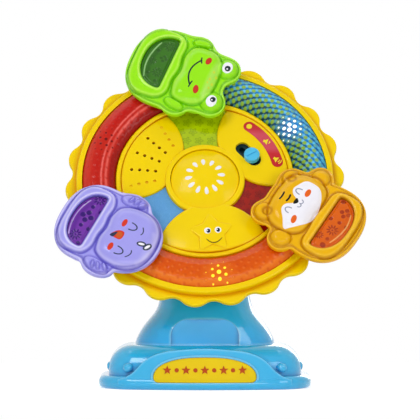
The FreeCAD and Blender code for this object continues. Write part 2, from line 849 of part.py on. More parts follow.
def button_spring():
    # a coil of round wire, closed to a sleeve of the same size
    return disc(5.8, board_top, 4.0).cut(disc(4.8, -20, 20))


def button_switch():
    body = block(6.0, 6.0, board_top, -6.8)
    return body.fuse(disc(1.7, -6.8, -6.1))


# Electronics

def circuit_board():
    board = disc(55.0, board_bottom, board_top)
    return without(board, [disc(4.2, -20, 0, spot.x, spot.y) for spot in post_spots()])


def led_boards():
    boards = []
    for spoke, radius in led_spots:
        board = block(9.0, 14.0, lamp_seat - 1.2, lamp_seat)
        boards.append(turned(moved(board, radius, 0), spoke))
    return boards


def leds():
    lamps = []
    for spoke, radius in led_spots:
        lamp = disc(lamp_radius, lamp_seat, lamp_shoulder)
        lamp = lamp.fuse(Part.makeSphere(lamp_radius, Vec(0, 0, lamp_shoulder)))
        lamp = lamp.fuse(disc(lamp_radius + 0.4, lamp_seat, lamp_seat + 1.0))
        lamps.append(turned(moved(lamp, radius, 0), spoke))
    return lamps


def speaker():
    centre = polar(43.2, speaker_spoke)
    frame = lathe([(0, board_top), (7.5, board_top), (7.5, -6.4), (13.5, -3.4), (15.0, -3.4),
                   (15.0, -2.6), (13.0, -2.6), (12.0, -3.4), (5.0, -4.6), (4.4, -3.6), (0, -3.2)])
    return moved(frame, centre.x, centre.y)


def slide_switch():
    # a body on the board, with a dark plate under the slot that the knob's stem passes
    body = block(24.0, 9.0, board_top, cover_bottom)
    cover = stadium(slot_length + 2.4, slot_width + 2.4, cover_bottom, cover_top)
    slit = stadium(slot_length - 4.0, slit_width, cover_bottom - 3.0, cover_top + 5.0)
    return beside_slot(body.fuse(cover).cut(slit))


def switch_knob():
    # a round button with a groove, on a stem
    top = disc(knob_radius, knob_bottom, knob_top)
    top = rounded(top, 0.8, at_height(knob_top))
    grip = block(8.0, 0.9, knob_top - 0.6, knob_top + 0.4)
    stem = disc(3.4, cover_top + 0.2, knob_bottom + 0.1).fuse(disc(1.7, -5.0, -1.0))
    return beside_slot(moved(joined([top.cut(turned(grip, 78.0)), stem]), knob_offset, 0))


def switch_label():
    # a curved sticker with round ends, on the petal
    start = switch_spoke + label_start
    end = switch_spoke + label_end
    inner = label_distance - label_half_width
    outer = label_distance + label_half_width
    middle = (start + end) / 2
    face = face_of([
        arc(polar(inner, start), polar(inner, middle), polar(inner, end)),
        arc(polar(inner, end), polar(label_distance, end) + polar(label_half_width, end + 90),
            polar(outer, end)),
        arc(polar(outer, end), polar(outer, middle), polar(outer, start)),
        arc(polar(outer, start), polar(label_distance, start) + polar(label_half_width, start - 90),
            polar(inner, start)),
    ])
    band = prism(face, 0.0, 10.0)
    top = polar(petal_peak, switch_spoke, switch_crown + label_thickness - switch_sphere)
    bottom = polar(petal_peak, switch_spoke, switch_crown - switch_sphere)
    band = band.common(Part.makeSphere(switch_sphere, top))
    return band.cut(Part.makeSphere(switch_sphere, bottom))


# Gondolas

class Gondola:
    # overall outline, raised forms and window of one animal in a basket
    def __init__(self, name, pivot, up, plate, raised, face, rim, window):
        self.name = name
        self.pivot = pivot
        self.up = up
        self.plate = plate
        self.raised = raised
        self.face = face
        self.rim = rim
        self.window = window

    def place(self, *solids):
        spot = polar(pivot_distance, self.pivot)
        placed = []
        for solid in solids:
            placed.append(moved(turned(solid, self.up - 90.0), spot.x, spot.y))
        return on_wheel(*placed)


def window_face(x, half_width, top, bottom, grow=0.0):
    # flat on top, a deep bowl below
    half_width = half_width + grow
    top = top + grow
    bottom = bottom - grow
    corner = top - 4.2
    left = Vec(x - half_width, corner, 0)
    right = Vec(x + half_width, corner, 0)
    curve = Part.BSplineCurve()
    low = [right, Vec(x + half_width * 0.86, corner * 0.62 + bottom * 0.38, 0),
           Vec(x + half_width * 0.48, bottom + 2.2, 0), Vec(x, bottom, 0),
           Vec(x - half_width * 0.48, bottom + 2.2, 0),
           Vec(x - half_width * 0.86, corner * 0.62 + bottom * 0.38, 0), left]
    curve.interpolate(low)
    left_top = Vec(x - half_width + 4.0, top, 0)
    right_top = Vec(x + half_width - 4.0, top, 0)
    return face_of([
        curve.toShape(),
        arc(left, Vec(x - half_width + 1.0, top - 1.0, 0), left_top),
        line(left_top, right_top),
        arc(right_top, Vec(x + half_width - 1.0, top - 1.0, 0), right),
    ])


def pillow(face, bottom, top, soft):
    form = prism(face, bottom, top)
    return rounded(form, soft, at_height(top))


def gondola_front(one):
    plate = joined([prism(face, gondola_joint, gondola_plate) for face in one.plate])
    x, half_width, top, bottom = one.window
    rim = pillow(one.rim, gondola_joint, gondola_rim, 1.2)
    face = pillow(one.face, gondola_joint, gondola_face, 3.4)
    bumps = [pillow(form, gondola_joint, height, soft) for form, height, soft in one.raised]
    shell = joined([plate, rim, face] + bumps)
    hollow = disc(7.0, gondola_joint - 1, gondola_face - 2.2)
    opening = prism(window_face(x, half_width, top, bottom), 0, 30)
    seat = prism(window_face(x, half_width, top, bottom, 1.6), 0, gondola_joint + 1.0)
    bores = [disc(1.4, 0, gondola_plate - 0.5, x, y) for x, y in gondola_screw_spots(one)]
    return without(shell, [hollow, opening, seat] + bores)


def gondola_back_shell(one):
    plate = joined([prism(face, gondola_back, gondola_joint) for face in one.plate])
    hole = disc(pin_radius + 0.05, 0, 20)
    heads = []
    for x, y in gondola_screw_spots(one):
        heads.append(disc(3.1, 0, gondola_back + 1.2, x, y))
        heads.append(disc(1.4, 0, 20, x, y))
    return without(plate, [hole] + heads)


def gondola_screw_spots(one):
    x, half_width, top, bottom = one.window
    return [(-basket_screw_x, basket_screw_y), (basket_screw_x, basket_screw_y),
            (x - half_width - 3.2, top - 3.0), (x + half_width + 3.2, top - 3.0)]


def gondola_window(one):
    x, half_width, top, bottom = one.window
    pane = prism(window_face(x, half_width, top, bottom, -0.1), gondola_joint, gondola_plate - 0.4)
    lip = prism(window_face(x, half_width, top, bottom, 1.5), gondola_joint, gondola_joint + 1.0)
    return pane.fuse(lip)


def gondola_screws(one):
    screws = []
    for x, y in gondola_screw_spots(one):
        head = disc(2.8, gondola_back + 0.1, gondola_back + 1.2, x, y)
        screws.append(head.fuse(disc(1.4, gondola_back + 1.2, gondola_plate - 0.7, x, y)))
    return screws


def gondolas():
    frog = Gondola(
        "frog", pivots[0], -22.2 - rest_turn,
        plate=[oval_face(-0.4, -18.0, 31.6, 30.0, 2.5), round_face(-23.6, -4.2, 10.0),
               round_face(23.8, -4.4, 10.0), oval_face(0.0, 5.0, 26.0, 18.2, 2.6),
               round_face(-14.2, 18.7, 10.9), round_face(14.6, 18.5, 10.9)],
        raised=[(round_face(-14.6, 19.2, 8.0), 16.4, 2.6),
                (round_face(14.2, 18.8, 8.0), 16.4, 2.6),
                (round_face(-26.2, -4.6, 5.8), 14.6, 1.5),
                (round_face(26.2, -4.8, 5.8), 14.6, 1.5)],
        face=oval_face(-1.0, 2.4, 23.2, 14.8, 2.5),
        rim=oval_face(-1.0, -29.2, 28.0, 16.2, 2.6),
        window=(-2.6, 21.2, -19.2, -39.0),
    )
    bird = Gondola(
        "bird", pivots[1], -27.5 - rest_turn,
        plate=[oval_face(2.9, -14.8, 30.6, 25.1, 2.4), oval_face(3.4, 9.0, 26.6, 26.6, 2.1),
               oval_face(-22.6, 3.4, 8.4, 12.2, 2.0), oval_face(30.6, 2.6, 8.6, 12.2, 2.0)],
        raised=[(oval_face(-23.4, 3.0, 5.6, 9.4, 2.0), 14.6, 1.6),
                (oval_face(31.4, 2.4, 5.6, 9.4, 2.0), 14.6, 1.6)],
        face=oval_face(3.6, 12.6, 24.2, 20.4, 2.3),
        rim=oval_face(3.2, -21.6, 27.0, 14.6, 2.6),
        window=(3.5, 21.5, -14.2, -31.2),
    )
    bear = Gondola(
        "bear", pivots[2], 148.8 - rest_turn,
        plate=[oval_face(-1.2, -15.4, 30.6, 26.6, 2.4), oval_face(1.2, 8.6, 26.0, 21.6, 2.5),
               round_face(-27.6, 4.2, 9.6), round_face(27.4, 4.4, 9.2),
               round_face(-15.6, 24.6, 9.4), round_face(16.2, 21.6, 9.0)],
        raised=[(round_face(-16.4, 26.2, 5.8), 14.6, 1.5),
                (round_face(17.6, 23.8, 5.4), 14.6, 1.5),
                (round_face(-28.6, 4.0, 6.8), 14.8, 1.6),
                (round_face(28.4, 4.2, 6.4), 14.8, 1.6)],
        face=oval_face(1.0, 8.2, 24.0, 16.6, 2.4),
        rim=oval_face(-1.2, -22.8, 26.8, 15.0, 2.6),
        window=(-0.6, 22.0, -15.4, -33.8),
    )
    return [frog, bird, bear]


def pivot_pins():
    pins = []
    for pivot in pivots:
        spot = polar(pivot_distance, pivot)
        pin = disc(pin_radius, -8.0, gondola_joint + 0.4, spot.x, spot.y)
        shoulder = disc(5.0, -4.4, -web_thickness, spot.x, spot.y)
        pins.append(pin.fuse(shoulder))
    return pins


def pivot_retainers():
    # washer and screw that hold each gondola on its pin, inside the hollow face
    caps = []
    for pivot in pivots:
        spot = polar(pivot_distance, pivot)
        washer = disc(5.4, gondola_joint + 0.4, gondola_joint + 1.2, spot.x, spot.y)
        head = disc(3.0, gondola_joint + 1.2, gondola_joint + 2.8, spot.x, spot.y)
        caps.append(washer.fuse(rounded(head, 0.6, at_height(gondola_joint + 2.8))))
    return caps


def wheel_axle():
    shaft = disc(axle_radius, axle_end, axle_top)
    return rounded(shaft, 0.6, at_height(axle_end))


def axle_retainer():
    washer = disc(9.6, axle_end - 1.6, axle_end)
    head = disc(4.0, axle_end - 4.0, axle_end - 1.6)
    return washer.fuse(rounded(head, 0.8, at_height(axle_end - 4.0)))


def rear_shell_screws():
    seat = rear_back + 1.8
    return [screw(spot.x, spot.y, seat, -14.0) for spot in post_spots()]


def door_screw():
    shank = disc(screw_bore, rear_back + 0.9, rear_back + 7.0)
    head = rounded(disc(2.8, rear_back, rear_back + 0.9), 0.4, at_height(rear_back))
    return battery_place(moved(shank.fuse(head), door_screw_x, 0))


def main():
    save("base_plinth", plinth())
    save("nameplate", nameplate())
    save("base_bottom_plate", bottom_plate())
    save("rubber_feet", *feet())
    save("base_screws", *base_screws())
    front_neck, rear_neck = neck_shells()
    save("neck_front_shell", front_neck)
    save("neck_rear_shell", rear_neck)
    save("neck_screws", *neck_screws())
    save("hub_bush", *on_wheel(hub_bush()))
    save("wheel_front_shell", *on_wheel(front_shell()))
    save("wheel_rear_shell", *on_wheel(rear_shell()))
    save("rear_shell_screws", *on_wheel(*rear_shell_screws()))
    save("wheel_axle", *on_wheel(wheel_axle()))
    save("axle_retainer", *on_wheel(axle_retainer()))
    save("blue_ring_window", *on_wheel(ring_window(pivots[2] - 360)))
    save("red_ring_window", *on_wheel(ring_window(pivots[0])))
    save("orange_ring_window", *on_wheel(ring_window(pivots[1])))
    save("green_web_window", *on_wheel(web_window(pivots[0])))
    save("blue_web_window", *on_wheel(web_window(pivots[1])))
    save("red_web_window", *on_wheel(web_window(pivots[2])))
    save("button_cap", *on_wheel(button_cap()))
    save("button_bezel", *on_wheel(button_bezel()))
    save("button_spring", *on_wheel(button_spring()))
    save("button_switch", *on_wheel(button_switch()))
    save("circuit_board", *on_wheel(circuit_board()))
    save("led_boards", *on_wheel(*led_boards()))
    save("leds", *on_wheel(*leds()))
    save("speaker", *on_wheel(speaker()))
    save("slide_switch", *on_wheel(slide_switch()))
    save("switch_knob", *on_wheel(switch_knob()))
    save("switch_label", *on_wheel(switch_label()))
    save("battery_door", *on_wheel(battery_door()))
    save("battery_door_screw", *on_wheel(door_screw()))
    save("batteries", *on_wheel(*batteries()))
    save("battery_contacts", *on_wheel(*battery_contacts()))
    save("gondola_pivot_pins", *on_wheel(*pivot_pins()))
    save("gondola_retainers", *on_wheel(*pivot_retainers()))
    for one in gondolas():
        save(one.name + "_front", *one.place(gondola_front(one)))
        save(one.name + "_back", *one.place(gondola_back_shell(one)))
        save(one.name + "_window", *one.place(gondola_window(one)))
        save(one.name + "_screws", *one.place(*gondola_screws(one)))


if __name__ == "__main__":
    main()
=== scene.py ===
import json
import math
from functools import partial

import bpy
import numpy as np
from mathutils import Matrix, Vector
from mathutils.bvhtree import BVHTree
from mathutils.geometry import tessellate_polygon


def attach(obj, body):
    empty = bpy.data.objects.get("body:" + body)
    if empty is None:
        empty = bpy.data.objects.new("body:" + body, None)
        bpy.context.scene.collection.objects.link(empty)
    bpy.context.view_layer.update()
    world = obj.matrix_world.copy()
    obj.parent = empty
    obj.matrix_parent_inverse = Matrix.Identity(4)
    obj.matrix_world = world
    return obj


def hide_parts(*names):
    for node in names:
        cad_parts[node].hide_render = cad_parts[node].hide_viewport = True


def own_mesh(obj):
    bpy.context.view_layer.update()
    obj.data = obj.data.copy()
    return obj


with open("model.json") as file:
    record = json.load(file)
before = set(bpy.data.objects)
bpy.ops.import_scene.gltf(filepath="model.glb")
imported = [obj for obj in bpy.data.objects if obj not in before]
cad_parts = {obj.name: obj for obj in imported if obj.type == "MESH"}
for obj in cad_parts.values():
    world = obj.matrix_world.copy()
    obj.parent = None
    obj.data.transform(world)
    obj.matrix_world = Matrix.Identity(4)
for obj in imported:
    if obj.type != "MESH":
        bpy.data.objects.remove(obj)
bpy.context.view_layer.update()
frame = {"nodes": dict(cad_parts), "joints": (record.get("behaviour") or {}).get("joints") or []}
print("frame loaded:", len(frame["nodes"]), "nodes")

# The wheel's pieces are drawn in millimetres on its own face: X to the right, Y up the face, Z out of
# it, the hub at the origin. wheelPlace brings them to their real place.

mm = 0.001
joints = {joint["name"]: joint for joint in frame["joints"]}
hub = Vector(joints["wheel_spin"]["pos_m"])
facing = Vector(joints["wheel_spin"]["axis"]).normalized()
across = Vector((1.0, 0.0, 0.0))
wheelTurn = Matrix((across, facing.cross(across), facing)).transposed()
wheelPlace = Matrix.Translation(hub) @ wheelTurn.to_4x4() @ Matrix.Scale(mm, 4)


def polar(radius, degrees):
    angle = math.radians(degrees)
    return Vector((radius * math.cos(angle), radius * math.sin(angle), 0.0))


def swivelPlace(name, up):
    pivot = wheelPlace.inverted() @ Vector(joints[name + "_swivel"]["pos_m"])
    turn = Matrix.Rotation(math.radians(up - 90.0), 4, "Z")
    return wheelPlace @ Matrix.Translation((pivot.x, pivot.y, 0.0)) @ turn


# Node building

class Wire:
    # a socket of a node tree: sums and products of wires become Math nodes
    def __init__(self, tree, socket=None):
        self.tree = tree
        self.socket = socket

    def node(self, kind, settings=None, values=None, out=0):
        made = self.tree.nodes.new(kind)
        for key, value in (settings or {}).items():
            if key == "stops":
                fillRamp(made.color_ramp, value)
            else:
                setattr(made, key, value)
        for key, value in (values or {}).items():
            if isinstance(value, Wire):
                self.tree.links.new(value.socket, made.inputs[key])
            else:
                made.inputs[key].default_value = value
        return Wire(self.tree, made.outputs[out] if made.outputs else None)

    def math(self, operation, *values):
        return self.node("ShaderNodeMath", {"operation": operation}, dict(enumerate(values)))

    def __add__(self, other):
        return self.math("ADD", self, other)

    def __radd__(self, other):
        return self.math("ADD", other, self)

    def __sub__(self, other):
        return self.math("SUBTRACT", self, other)

    def __rsub__(self, other):
        return self.math("SUBTRACT", other, self)

    def __mul__(self, other):
        return self.math("MULTIPLY", self, other)

    def __rmul__(self, other):
        return self.math("MULTIPLY", other, self)

    def __truediv__(self, other):
        return self.math("DIVIDE", self, other)

    def __rtruediv__(self, other):
        return self.math("DIVIDE", other, self)

    def under(self, edge, soft):
        # 1 below the edge, 0 above it, with a short slope between
        return self.node("ShaderNodeMath", {"operation": "ADD", "use_clamp": True},
                         {0: (edge - self) / soft, 1: 0.5})

    def tint(self, low, high):
        return self.node("ShaderNodeMix", {"data_type": "RGBA"}, {0: self, 6: low, 7: high}, 2)

    def part(self, axis):
        return self.node("ShaderNodeSeparateXYZ", {}, {0: self}, axis)

    def scaled(self, factor):
        return self.node("ShaderNodeVectorMath", {"operation": "SCALE"}, {0: self, "Scale": factor})

    def vector(self, **sides):
        return self.node("ShaderNodeCombineXYZ", {}, sides)

    def distance(self, x, y):
        return self.math("SQRT", x * x + y * y)

    def attribute(self, label):
        return self.node("ShaderNodeAttribute", {"attribute_name": label}, out="Fac")

    def given(self, label):
        return self.node("NodeGroupInput", out=label)


def fillRamp(ramp, stops):
    while len(ramp.elements) < len(stops):
        ramp.elements.new(0.5)
    for element, (position, colour) in zip(ramp.elements, stops):
        element.position = position
        element.color = colour


def paint(code):
    # a colour written as in a paint chart, brought to linear light
    channels = [int(code[place:place + 2], 16) / 255.0 for place in (0, 2, 4)]
    linear = [c / 12.92 if c <= 0.04045 else ((c + 0.055) / 1.055) ** 2.4 for c in channels]
    return (*linear, 1.0)


def newMaterial(name):
    material = bpy.data.materials.new(name)
    material.use_nodes = True
    material.node_tree.nodes.clear()
    return material, Wire(material.node_tree)


def closeMaterial(start, values):
    shader = start.node("ShaderNodeBsdfPrincipled", {}, values, "BSDF")
    start.node("ShaderNodeOutputMaterial", {}, {"Surface": shader})


def objectPoint(start):
    return start.node("ShaderNodeTexCoord", out="Object")


def noise(start, point, scale, detail=2.0, rough=0.5):
    return start.node("ShaderNodeTexNoise", {}, {"Vector": point, "Scale": scale, "Detail": detail,
                                                 "Roughness": rough}, "Fac")


def buriedShare(start, reach, **settings):
    return start.node("ShaderNodeAmbientOcclusion", {"samples": 8, "only_local": True, **settings},
                      {"Distance": reach}, "AO")


usualLook = {"rough": 0.2, "coat": 0.35, "gloss": 0.2, "mottle": 0.10, "skin": 0.06, "cloudScale": 26.0,
             "flowScale": 60.0, "grainScale": 1500.0, "speckScale": 420.0, "creaseShadeSteep": 1.6,
             "crestHighlightShare": 0.8}


def mouldedSkin(start, colour, look):
    # what every moulded piece shares: faint clouds in the colour, flow marks and a fine skin
    look = {**usualLook, **look}
    point = objectPoint(start)
    stretched = start.node("ShaderNodeMapping", {}, {"Vector": point, "Scale": (1.0, 1.0, 3.5)})
    clouds = noise(start, point, look["cloudScale"])
    flow = noise(start, stretched, look["flowScale"], 3.0, 0.6)
    grain = noise(start, point, look["grainScale"], 3.0, 0.6)
    specks = noise(start, point, look["speckScale"], 4.0, 0.7)
    amount = look["mottle"]
    tone = clouds * (0.65 * amount) + flow * (0.35 * amount)
    if "creaseShade" in look:
        # painted shade: ambient occlusion darkens the folds and inner corners of the moulding toward a
        # deeper colour, where shade falls
        steep = look["creaseShadeSteep"]
        openness = buriedShare(start, look["creaseShadeReach"])
        colour = start.math("MAXIMUM", openness * steep - (steep - 1.0), 0.0).tint(look["creaseShade"], colour)
        # and a painted highlight makes its outer corners paler
        thickness = buriedShare(start, look["crestHighlightReach"], inside=True)
        corner = start.math("MAXIMUM", 1.0 - thickness, 0.0) * look["crestHighlightShare"]
        colour = corner.tint(colour, look["crest"])
    coloured = start.node("ShaderNodeHueSaturation", {}, {
        "Color": colour, "Value": tone + (1.0 - 0.5 * amount), "Hue": (clouds - 0.5) * 0.006 + 0.5})
    rough = look["rough"] + (flow - 0.5) * 0.08 + specks.under(0.36, 0.04) * 0.10
    bump = start.node("ShaderNodeBump", {}, {
        "Strength": look["skin"], "Distance": 0.0004, "Height": grain * 0.6 + clouds * 0.4}, "Normal")
    return {"Base Color": coloured, "Roughness": rough, "Normal": bump, "Coat Weight": look["coat"],
            "Coat Roughness": 0.05, "Specular IOR Level": look["gloss"]}


def mouldedPlastic(name, code, look):
    material, start = newMaterial(name)
    closeMaterial(start, mouldedSkin(start, paint(code), look))
    return material


# Forms on a flat drawing: each gives the distance outside its outline, negative inside

def ovalField(x, y, cx, cy, halfWidth, halfHeight, power=2.0, tilt=0.0):
    turn = math.radians(tilt)
    u = np.abs((x - cx) * math.cos(turn) + (y - cy) * math.sin(turn)) / halfWidth + 1e-9
    v = np.abs((y - cy) * math.cos(turn) - (x - cx) * math.sin(turn)) / halfHeight + 1e-9
    size = (u ** power + v ** power) ** (1.0 / power)
    steep = size ** (1.0 - power) * np.hypot(u ** (power - 1.0) / halfWidth,
                                             v ** (power - 1.0) / halfHeight)
    return (size - 1.0) / steep


def merged(first, second, reach):
    # joins two forms with a soft corner between them
    share = np.clip(0.5 + 0.5 * (second - first) / reach, 0.0, 1.0)
    return second + (first - second) * share - reach * share * (1.0 - share)


def trimmed(first, second, reach):
    # keeps what two forms have in common
    return -merged(-first, -second, reach)


def unionField(x, y, forms, reach):
    total = ovalField(x, y, *forms[0])
    for form in forms[1:]:
        total = merged(total, ovalField(x, y, *form), reach)
    return total


def segmentField(x, y, ax, ay, bx, by):
    dx, dy = bx - ax, by - ay
    along = np.clip(((x - ax) * dx + (y - ay) * dy) / (dx * dx + dy * dy), 0.0, 1.0)
    return np.hypot(x - ax - along * dx, y - ay - along * dy)


def strokePoint(start, middle, end, t):
    # a spot on the curve that starts, passes and ends at three points
    return [(1 - t) ** 2 * a + 2 * t * (1 - t) * (2.0 * m - (a + b) / 2) + t * t * b
            for a, m, b in zip(start, middle, end)]


def strokeField(x, y, start, middle, end, width, steps=12):
    spots = [strokePoint(start, middle, end, step / steps) for step in range(steps + 1)]
    pieces = [segmentField(x, y, *first, *second) for first, second in zip(spots, spots[1:])]
    return np.min(pieces, axis=0) - width / 2


def patchField(x, y, *corners):
    # a closed shape with rounded corners
    spots = np.array(corners)
    for repeat in range(2):
        following = np.roll(spots, -1, axis=0)
        spots = np.stack([0.75 * spots + 0.25 * following, 0.25 * spots + 0.75 * following], axis=1)
        spots = spots.reshape(-1, 2)
    nearest = np.full(np.shape(x), 1e9)
    inside = np.zeros(np.shape(x), bool)
    for (ax, ay), (bx, by) in zip(spots, np.roll(spots, -1, axis=0)):
        nearest = np.minimum(nearest, segmentField(x, y, ax, ay, bx, by))
        crosses = (ay > y) != (by > y)
        inside ^= crosses & (x < ax + (y - ay) * (bx - ax) / ((by - ay) or 1.0))
    return np.where(inside, -nearest, nearest)


def arcField(x, y, cx, cy, halfWidth, height, width):
    # half of an oval's outline, the upper half where the height is positive
    ring = np.abs(ovalField(x, y, cx, cy, halfWidth, abs(height)))
    ends = np.hypot(np.abs(x - cx) - halfWidth, y - cy)
    return np.where((y - cy) * height > 0.0, ring, ends) - width / 2


def cloverField(x, y, cx, cy, radius):
    leaves = [polar(radius * 0.62, 90.0 * quarter) for quarter in range(4)]
    reach = np.min([np.hypot(x - cx - leaf.x, y - cy - leaf.y) for leaf in leaves], axis=0)
    return reach - radius * 0.38


def flowerField(x, y, cx, cy, radius, petals=10):
    step = 2.0 * math.pi / petals
    angle = np.arctan2(y - cy, x - cx)
    angle = angle - np.round(angle / step) * step
    reach = np.hypot(x - cx, y - cy)
    petal = ovalField(reach * np.cos(angle), reach * np.sin(angle), radius * 0.66, 0.0,
                      radius * 0.34, radius * 0.13)
    return np.minimum(petal, reach - radius * 0.16)


def inkField(x, y, marks):
    # a mark is an oval where it doesn't start with the name of another form
    fields = [inkForms[mark[0]](x, y, *mark[1:]) if isinstance(mark[0], str) else ovalField(x, y, *mark)
              for mark in marks]
    return np.minimum(np.min(fields, axis=0), 9.0)


inkForms = {"stroke": strokeField, "arc": arcField, "patch": patchField,
            "clover": cloverField, "flower": flowerField}


# Meshes

def linked(name, data):
    item = bpy.data.objects.new(name, data)
    bpy.context.scene.collection.objects.link(item)
    return item


def shadeSmooth(mesh, sharp):
    mesh.polygons.foreach_set("use_smooth", [True] * len(mesh.polygons))
    mesh.set_sharp_from_angle(angle=math.radians(sharp))


def applied(piece, modifier):
    # the piece gets the mesh that the modifier gives, and the modifier goes
    graph = bpy.context.evaluated_depsgraph_get()
    mesh = bpy.data.meshes.new_from_object(piece.evaluated_get(graph))
    piece.modifiers.remove(modifier)
    piece.data = mesh


def newPiece(name, points, faces, place=Matrix.Identity(4), sharp=35.0):
    mesh = bpy.data.meshes.new(name)
    mesh.from_pydata(points, [], faces)
    mesh.transform(place)
    mesh.update()
    shadeSmooth(mesh, sharp)
    return linked(name, mesh)


def seat(piece, body, slotName, material, *nodes):
    piece.data.materials.clear()
    piece.data.materials.append(material)
    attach(piece, body)
    if nodes:
        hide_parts(*nodes)


def ringWall(upper, lower, size):
    # the faces between two loops of points
    return [(upper + k, lower + k, lower + (k + 1) % size, upper + (k + 1) % size) for k in range(size)]


def fieldSlope(region, x, y):
    tiny = 0.02
    alongX = (region(x + tiny, y) - region(x - tiny, y)) / (2 * tiny)
    alongY = (region(x, y + tiny) - region(x, y - tiny)) / (2 * tiny)
    return alongX, alongY


def reliefPiece(name, place, box, step, region, height, base, edge, fields, edgeSteps=5, pulls=8):
    # a fine grid over the region, pulled onto its outline, with a rounded edge, a wall and a flat back
    gridX, gridY = np.meshgrid(np.arange(box[0], box[1] + step, step),
                               np.arange(box[2], box[3] + step, step), indexing="ij")
    inside = region(gridX, gridY) < 0.0
    wide, high = inside.shape
    padded = np.pad(inside, 1)
    used = np.any([padded[i:i + wide, j:j + high] for i in range(3) for j in range(3)], axis=0)
    border = used & ~inside
    x, y = gridX[border], gridY[border]
    for pull in range(pulls):
        slopeX, slopeY = fieldSlope(region, x, y)
        ease = region(x, y) / np.maximum(slopeX ** 2 + slopeY ** 2, 1e-6)
        x, y = x - ease * slopeX, y - ease * slopeY
    gridX[border], gridY[border] = x, y
    x, y = gridX[used], gridY[used]
    top = height(x, y)
    count = len(x)

    index = np.full(inside.shape, -1)
    index[used] = np.arange(count)
    near, far = slice(None, -1), slice(1, None)
    corners = [(near, near), (far, near), (far, far), (near, far)]
    whole = np.any([inside[corner] for corner in corners], axis=0)
    quads = np.stack([index[corner][whole] for corner in corners], axis=1)
    sides = np.concatenate([quads[:, [k, (k + 1) % 4]] for k in range(4)]).astype(np.int64)
    rim = sides[~np.isin(sides[:, 0] * count + sides[:, 1], sides[:, 1] * count + sides[:, 0])]
    rimIds = np.unique(rim)
    rimOrder = np.zeros(count, int)
    rimOrder[rimIds] = np.arange(len(rimIds))
    slopeX, slopeY = fieldSlope(region, x[rimIds], y[rimIds])
    length = np.maximum(np.hypot(slopeX, slopeY), 1e-6)

    spots = [np.stack([x, y, top], axis=1)]
    faces = quads.tolist()
    last = rim
    start = count
    for k in range(1, edgeSteps + 2):
        angle = min(k / edgeSteps, 1.0) * math.pi / 2
        out = edge * math.sin(angle) / length
        level = top[rimIds] - edge * (1.0 - math.cos(angle))
        if k > edgeSteps:
            level = np.full(len(rimIds), base)
        spots.append(np.stack([x[rimIds] + out * slopeX, y[rimIds] + out * slopeY, level], axis=1))
        following = start + rimOrder[rim]
        faces += np.concatenate([last[:, ::-1], following], axis=1).tolist()
        last = following
        start += len(rimIds)
    inner = np.ones(count, bool)
    inner[rimIds] = False
    below = start - len(rimIds) + rimOrder
    below[inner] = start + np.arange(inner.sum())
    spots.append(np.stack([x[inner], y[inner], np.full(inner.sum(), base)], axis=1))
    faces += below[quads[:, ::-1]].tolist()

    points = np.concatenate(spots)
    piece = newPiece(name, points.tolist(), faces, place, 42.0)
    for label, field in fields.items():
        attribute = piece.data.attributes.new(label, "FLOAT", "POINT")
        values = field(points[:, 0], points[:, 1])
        attribute.data.foreach_set("value", values.astype(np.float32))
    return piece


def surfaceBelow(node):
    mesh = frame["nodes"][node].data
    return BVHTree.FromPolygons([v.co for v in mesh.vertices], [p.vertices for p in mesh.polygons])


def inkPad(name, loops, place, target, lift, depth=0.3, above=40.0):
    # printed marks: flat outlines laid on a curved surface, a hair proud of it
    outward = (place.to_3x3() @ Vector((0.0, 0.0, 1.0))).normalized()
    points, faces = [], []
    for loop in loops:
        first, size = len(points), len(loop)
        landed = [target.ray_cast(place @ Vector((x, y, above)), -outward)[0] for x, y in loop]
        points += [hit + outward * lift * mm for hit in landed]
        points += [hit - outward * depth * mm for hit in landed]
        for face in tessellate_polygon([[Vector((x, y, 0.0)) for x, y in loop]]):
            a, b, c = (Vector(loop[k]) for k in face)
            turned = (b - a).cross(c - a) < 0.0
            face = face[::-1] if turned else face
            faces.append([first + k for k in face])
            faces.append([first + size + k for k in reversed(face)])
        faces += ringWall(first, first + size, size)
    return newPiece(name, points, faces)


def ovalLoop(cx, cy, halfWidth, halfHeight, steps=40):
    angles = [2.0 * math.pi * step / steps for step in range(steps)]
    return [(cx + halfWidth * math.cos(angle), cy + halfHeight * math.sin(angle)) for angle in angles]


def strokeLoop(start, middle, end, width, steps=16):
    # outline of a brush stroke with thin round ends
    left, right = [], []
    for step in range(steps + 1):
        t = step / steps
        spot = Vector(strokePoint(start, middle, end, t))
        bends = [2.0 * m - (a + b) / 2 for a, m, b in zip(start, middle, end)]
        way = [(1 - t) * (bend - a) + t * (b - bend) for a, bend, b in zip(start, bends, end)]
        side = Vector((-way[1], way[0])).normalized() * width / 2
        side *= math.sqrt(max(0.12, 1.0 - (2.0 * t - 1.0) ** 8))
        left.append(tuple(spot + side))
        right.append(tuple(spot - side))
    return right + left[::-1]


# Geometry trees

def newTree(name, **inputs):
    # the inputs are given by their kind: Int=["Count"], Float=["Pitch", "Level"]
    tree = bpy.data.node_groups.new(name, "GeometryNodeTree")
    tree.interface.new_socket(name="Geometry", in_out="OUTPUT", socket_type="NodeSocketGeometry")
    for kind, labels in inputs.items():
        for label in labels:
            tree.interface.new_socket(name=label, in_out="INPUT", socket_type="NodeSocket" + kind)
    return tree, Wire(tree)


def closeTree(start, geometry):
    solid = start.node("GeometryNodeRealizeInstances", {}, {"Geometry": geometry})
    done = start.node("GeometryNodeSetMaterial", {}, {
        "Geometry": solid, "Material": start.given("Finish")})
    start.node("NodeGroupOutput", {}, {0: done})


def growPiece(name, tree, values, sharp=42.0):
    piece = linked(name, bpy.data.meshes.new(name))
    modifier = piece.modifiers.new("grow", "NODES")
    modifier.node_group = tree
    for socket in tree.interface.items_tree:
        if socket.in_out == "INPUT" and socket.name in values:
            modifier[socket.identifier] = values[socket.name]
    piece.update_tag()
    applied(piece, modifier)
    piece.data.name = name
    shadeSmooth(piece.data, sharp)
    return piece


def objectShape(start, label):
    return start.node("GeometryNodeObjectInfo", {}, {"Object": start.given(label)}, "Geometry")


# Camera and light

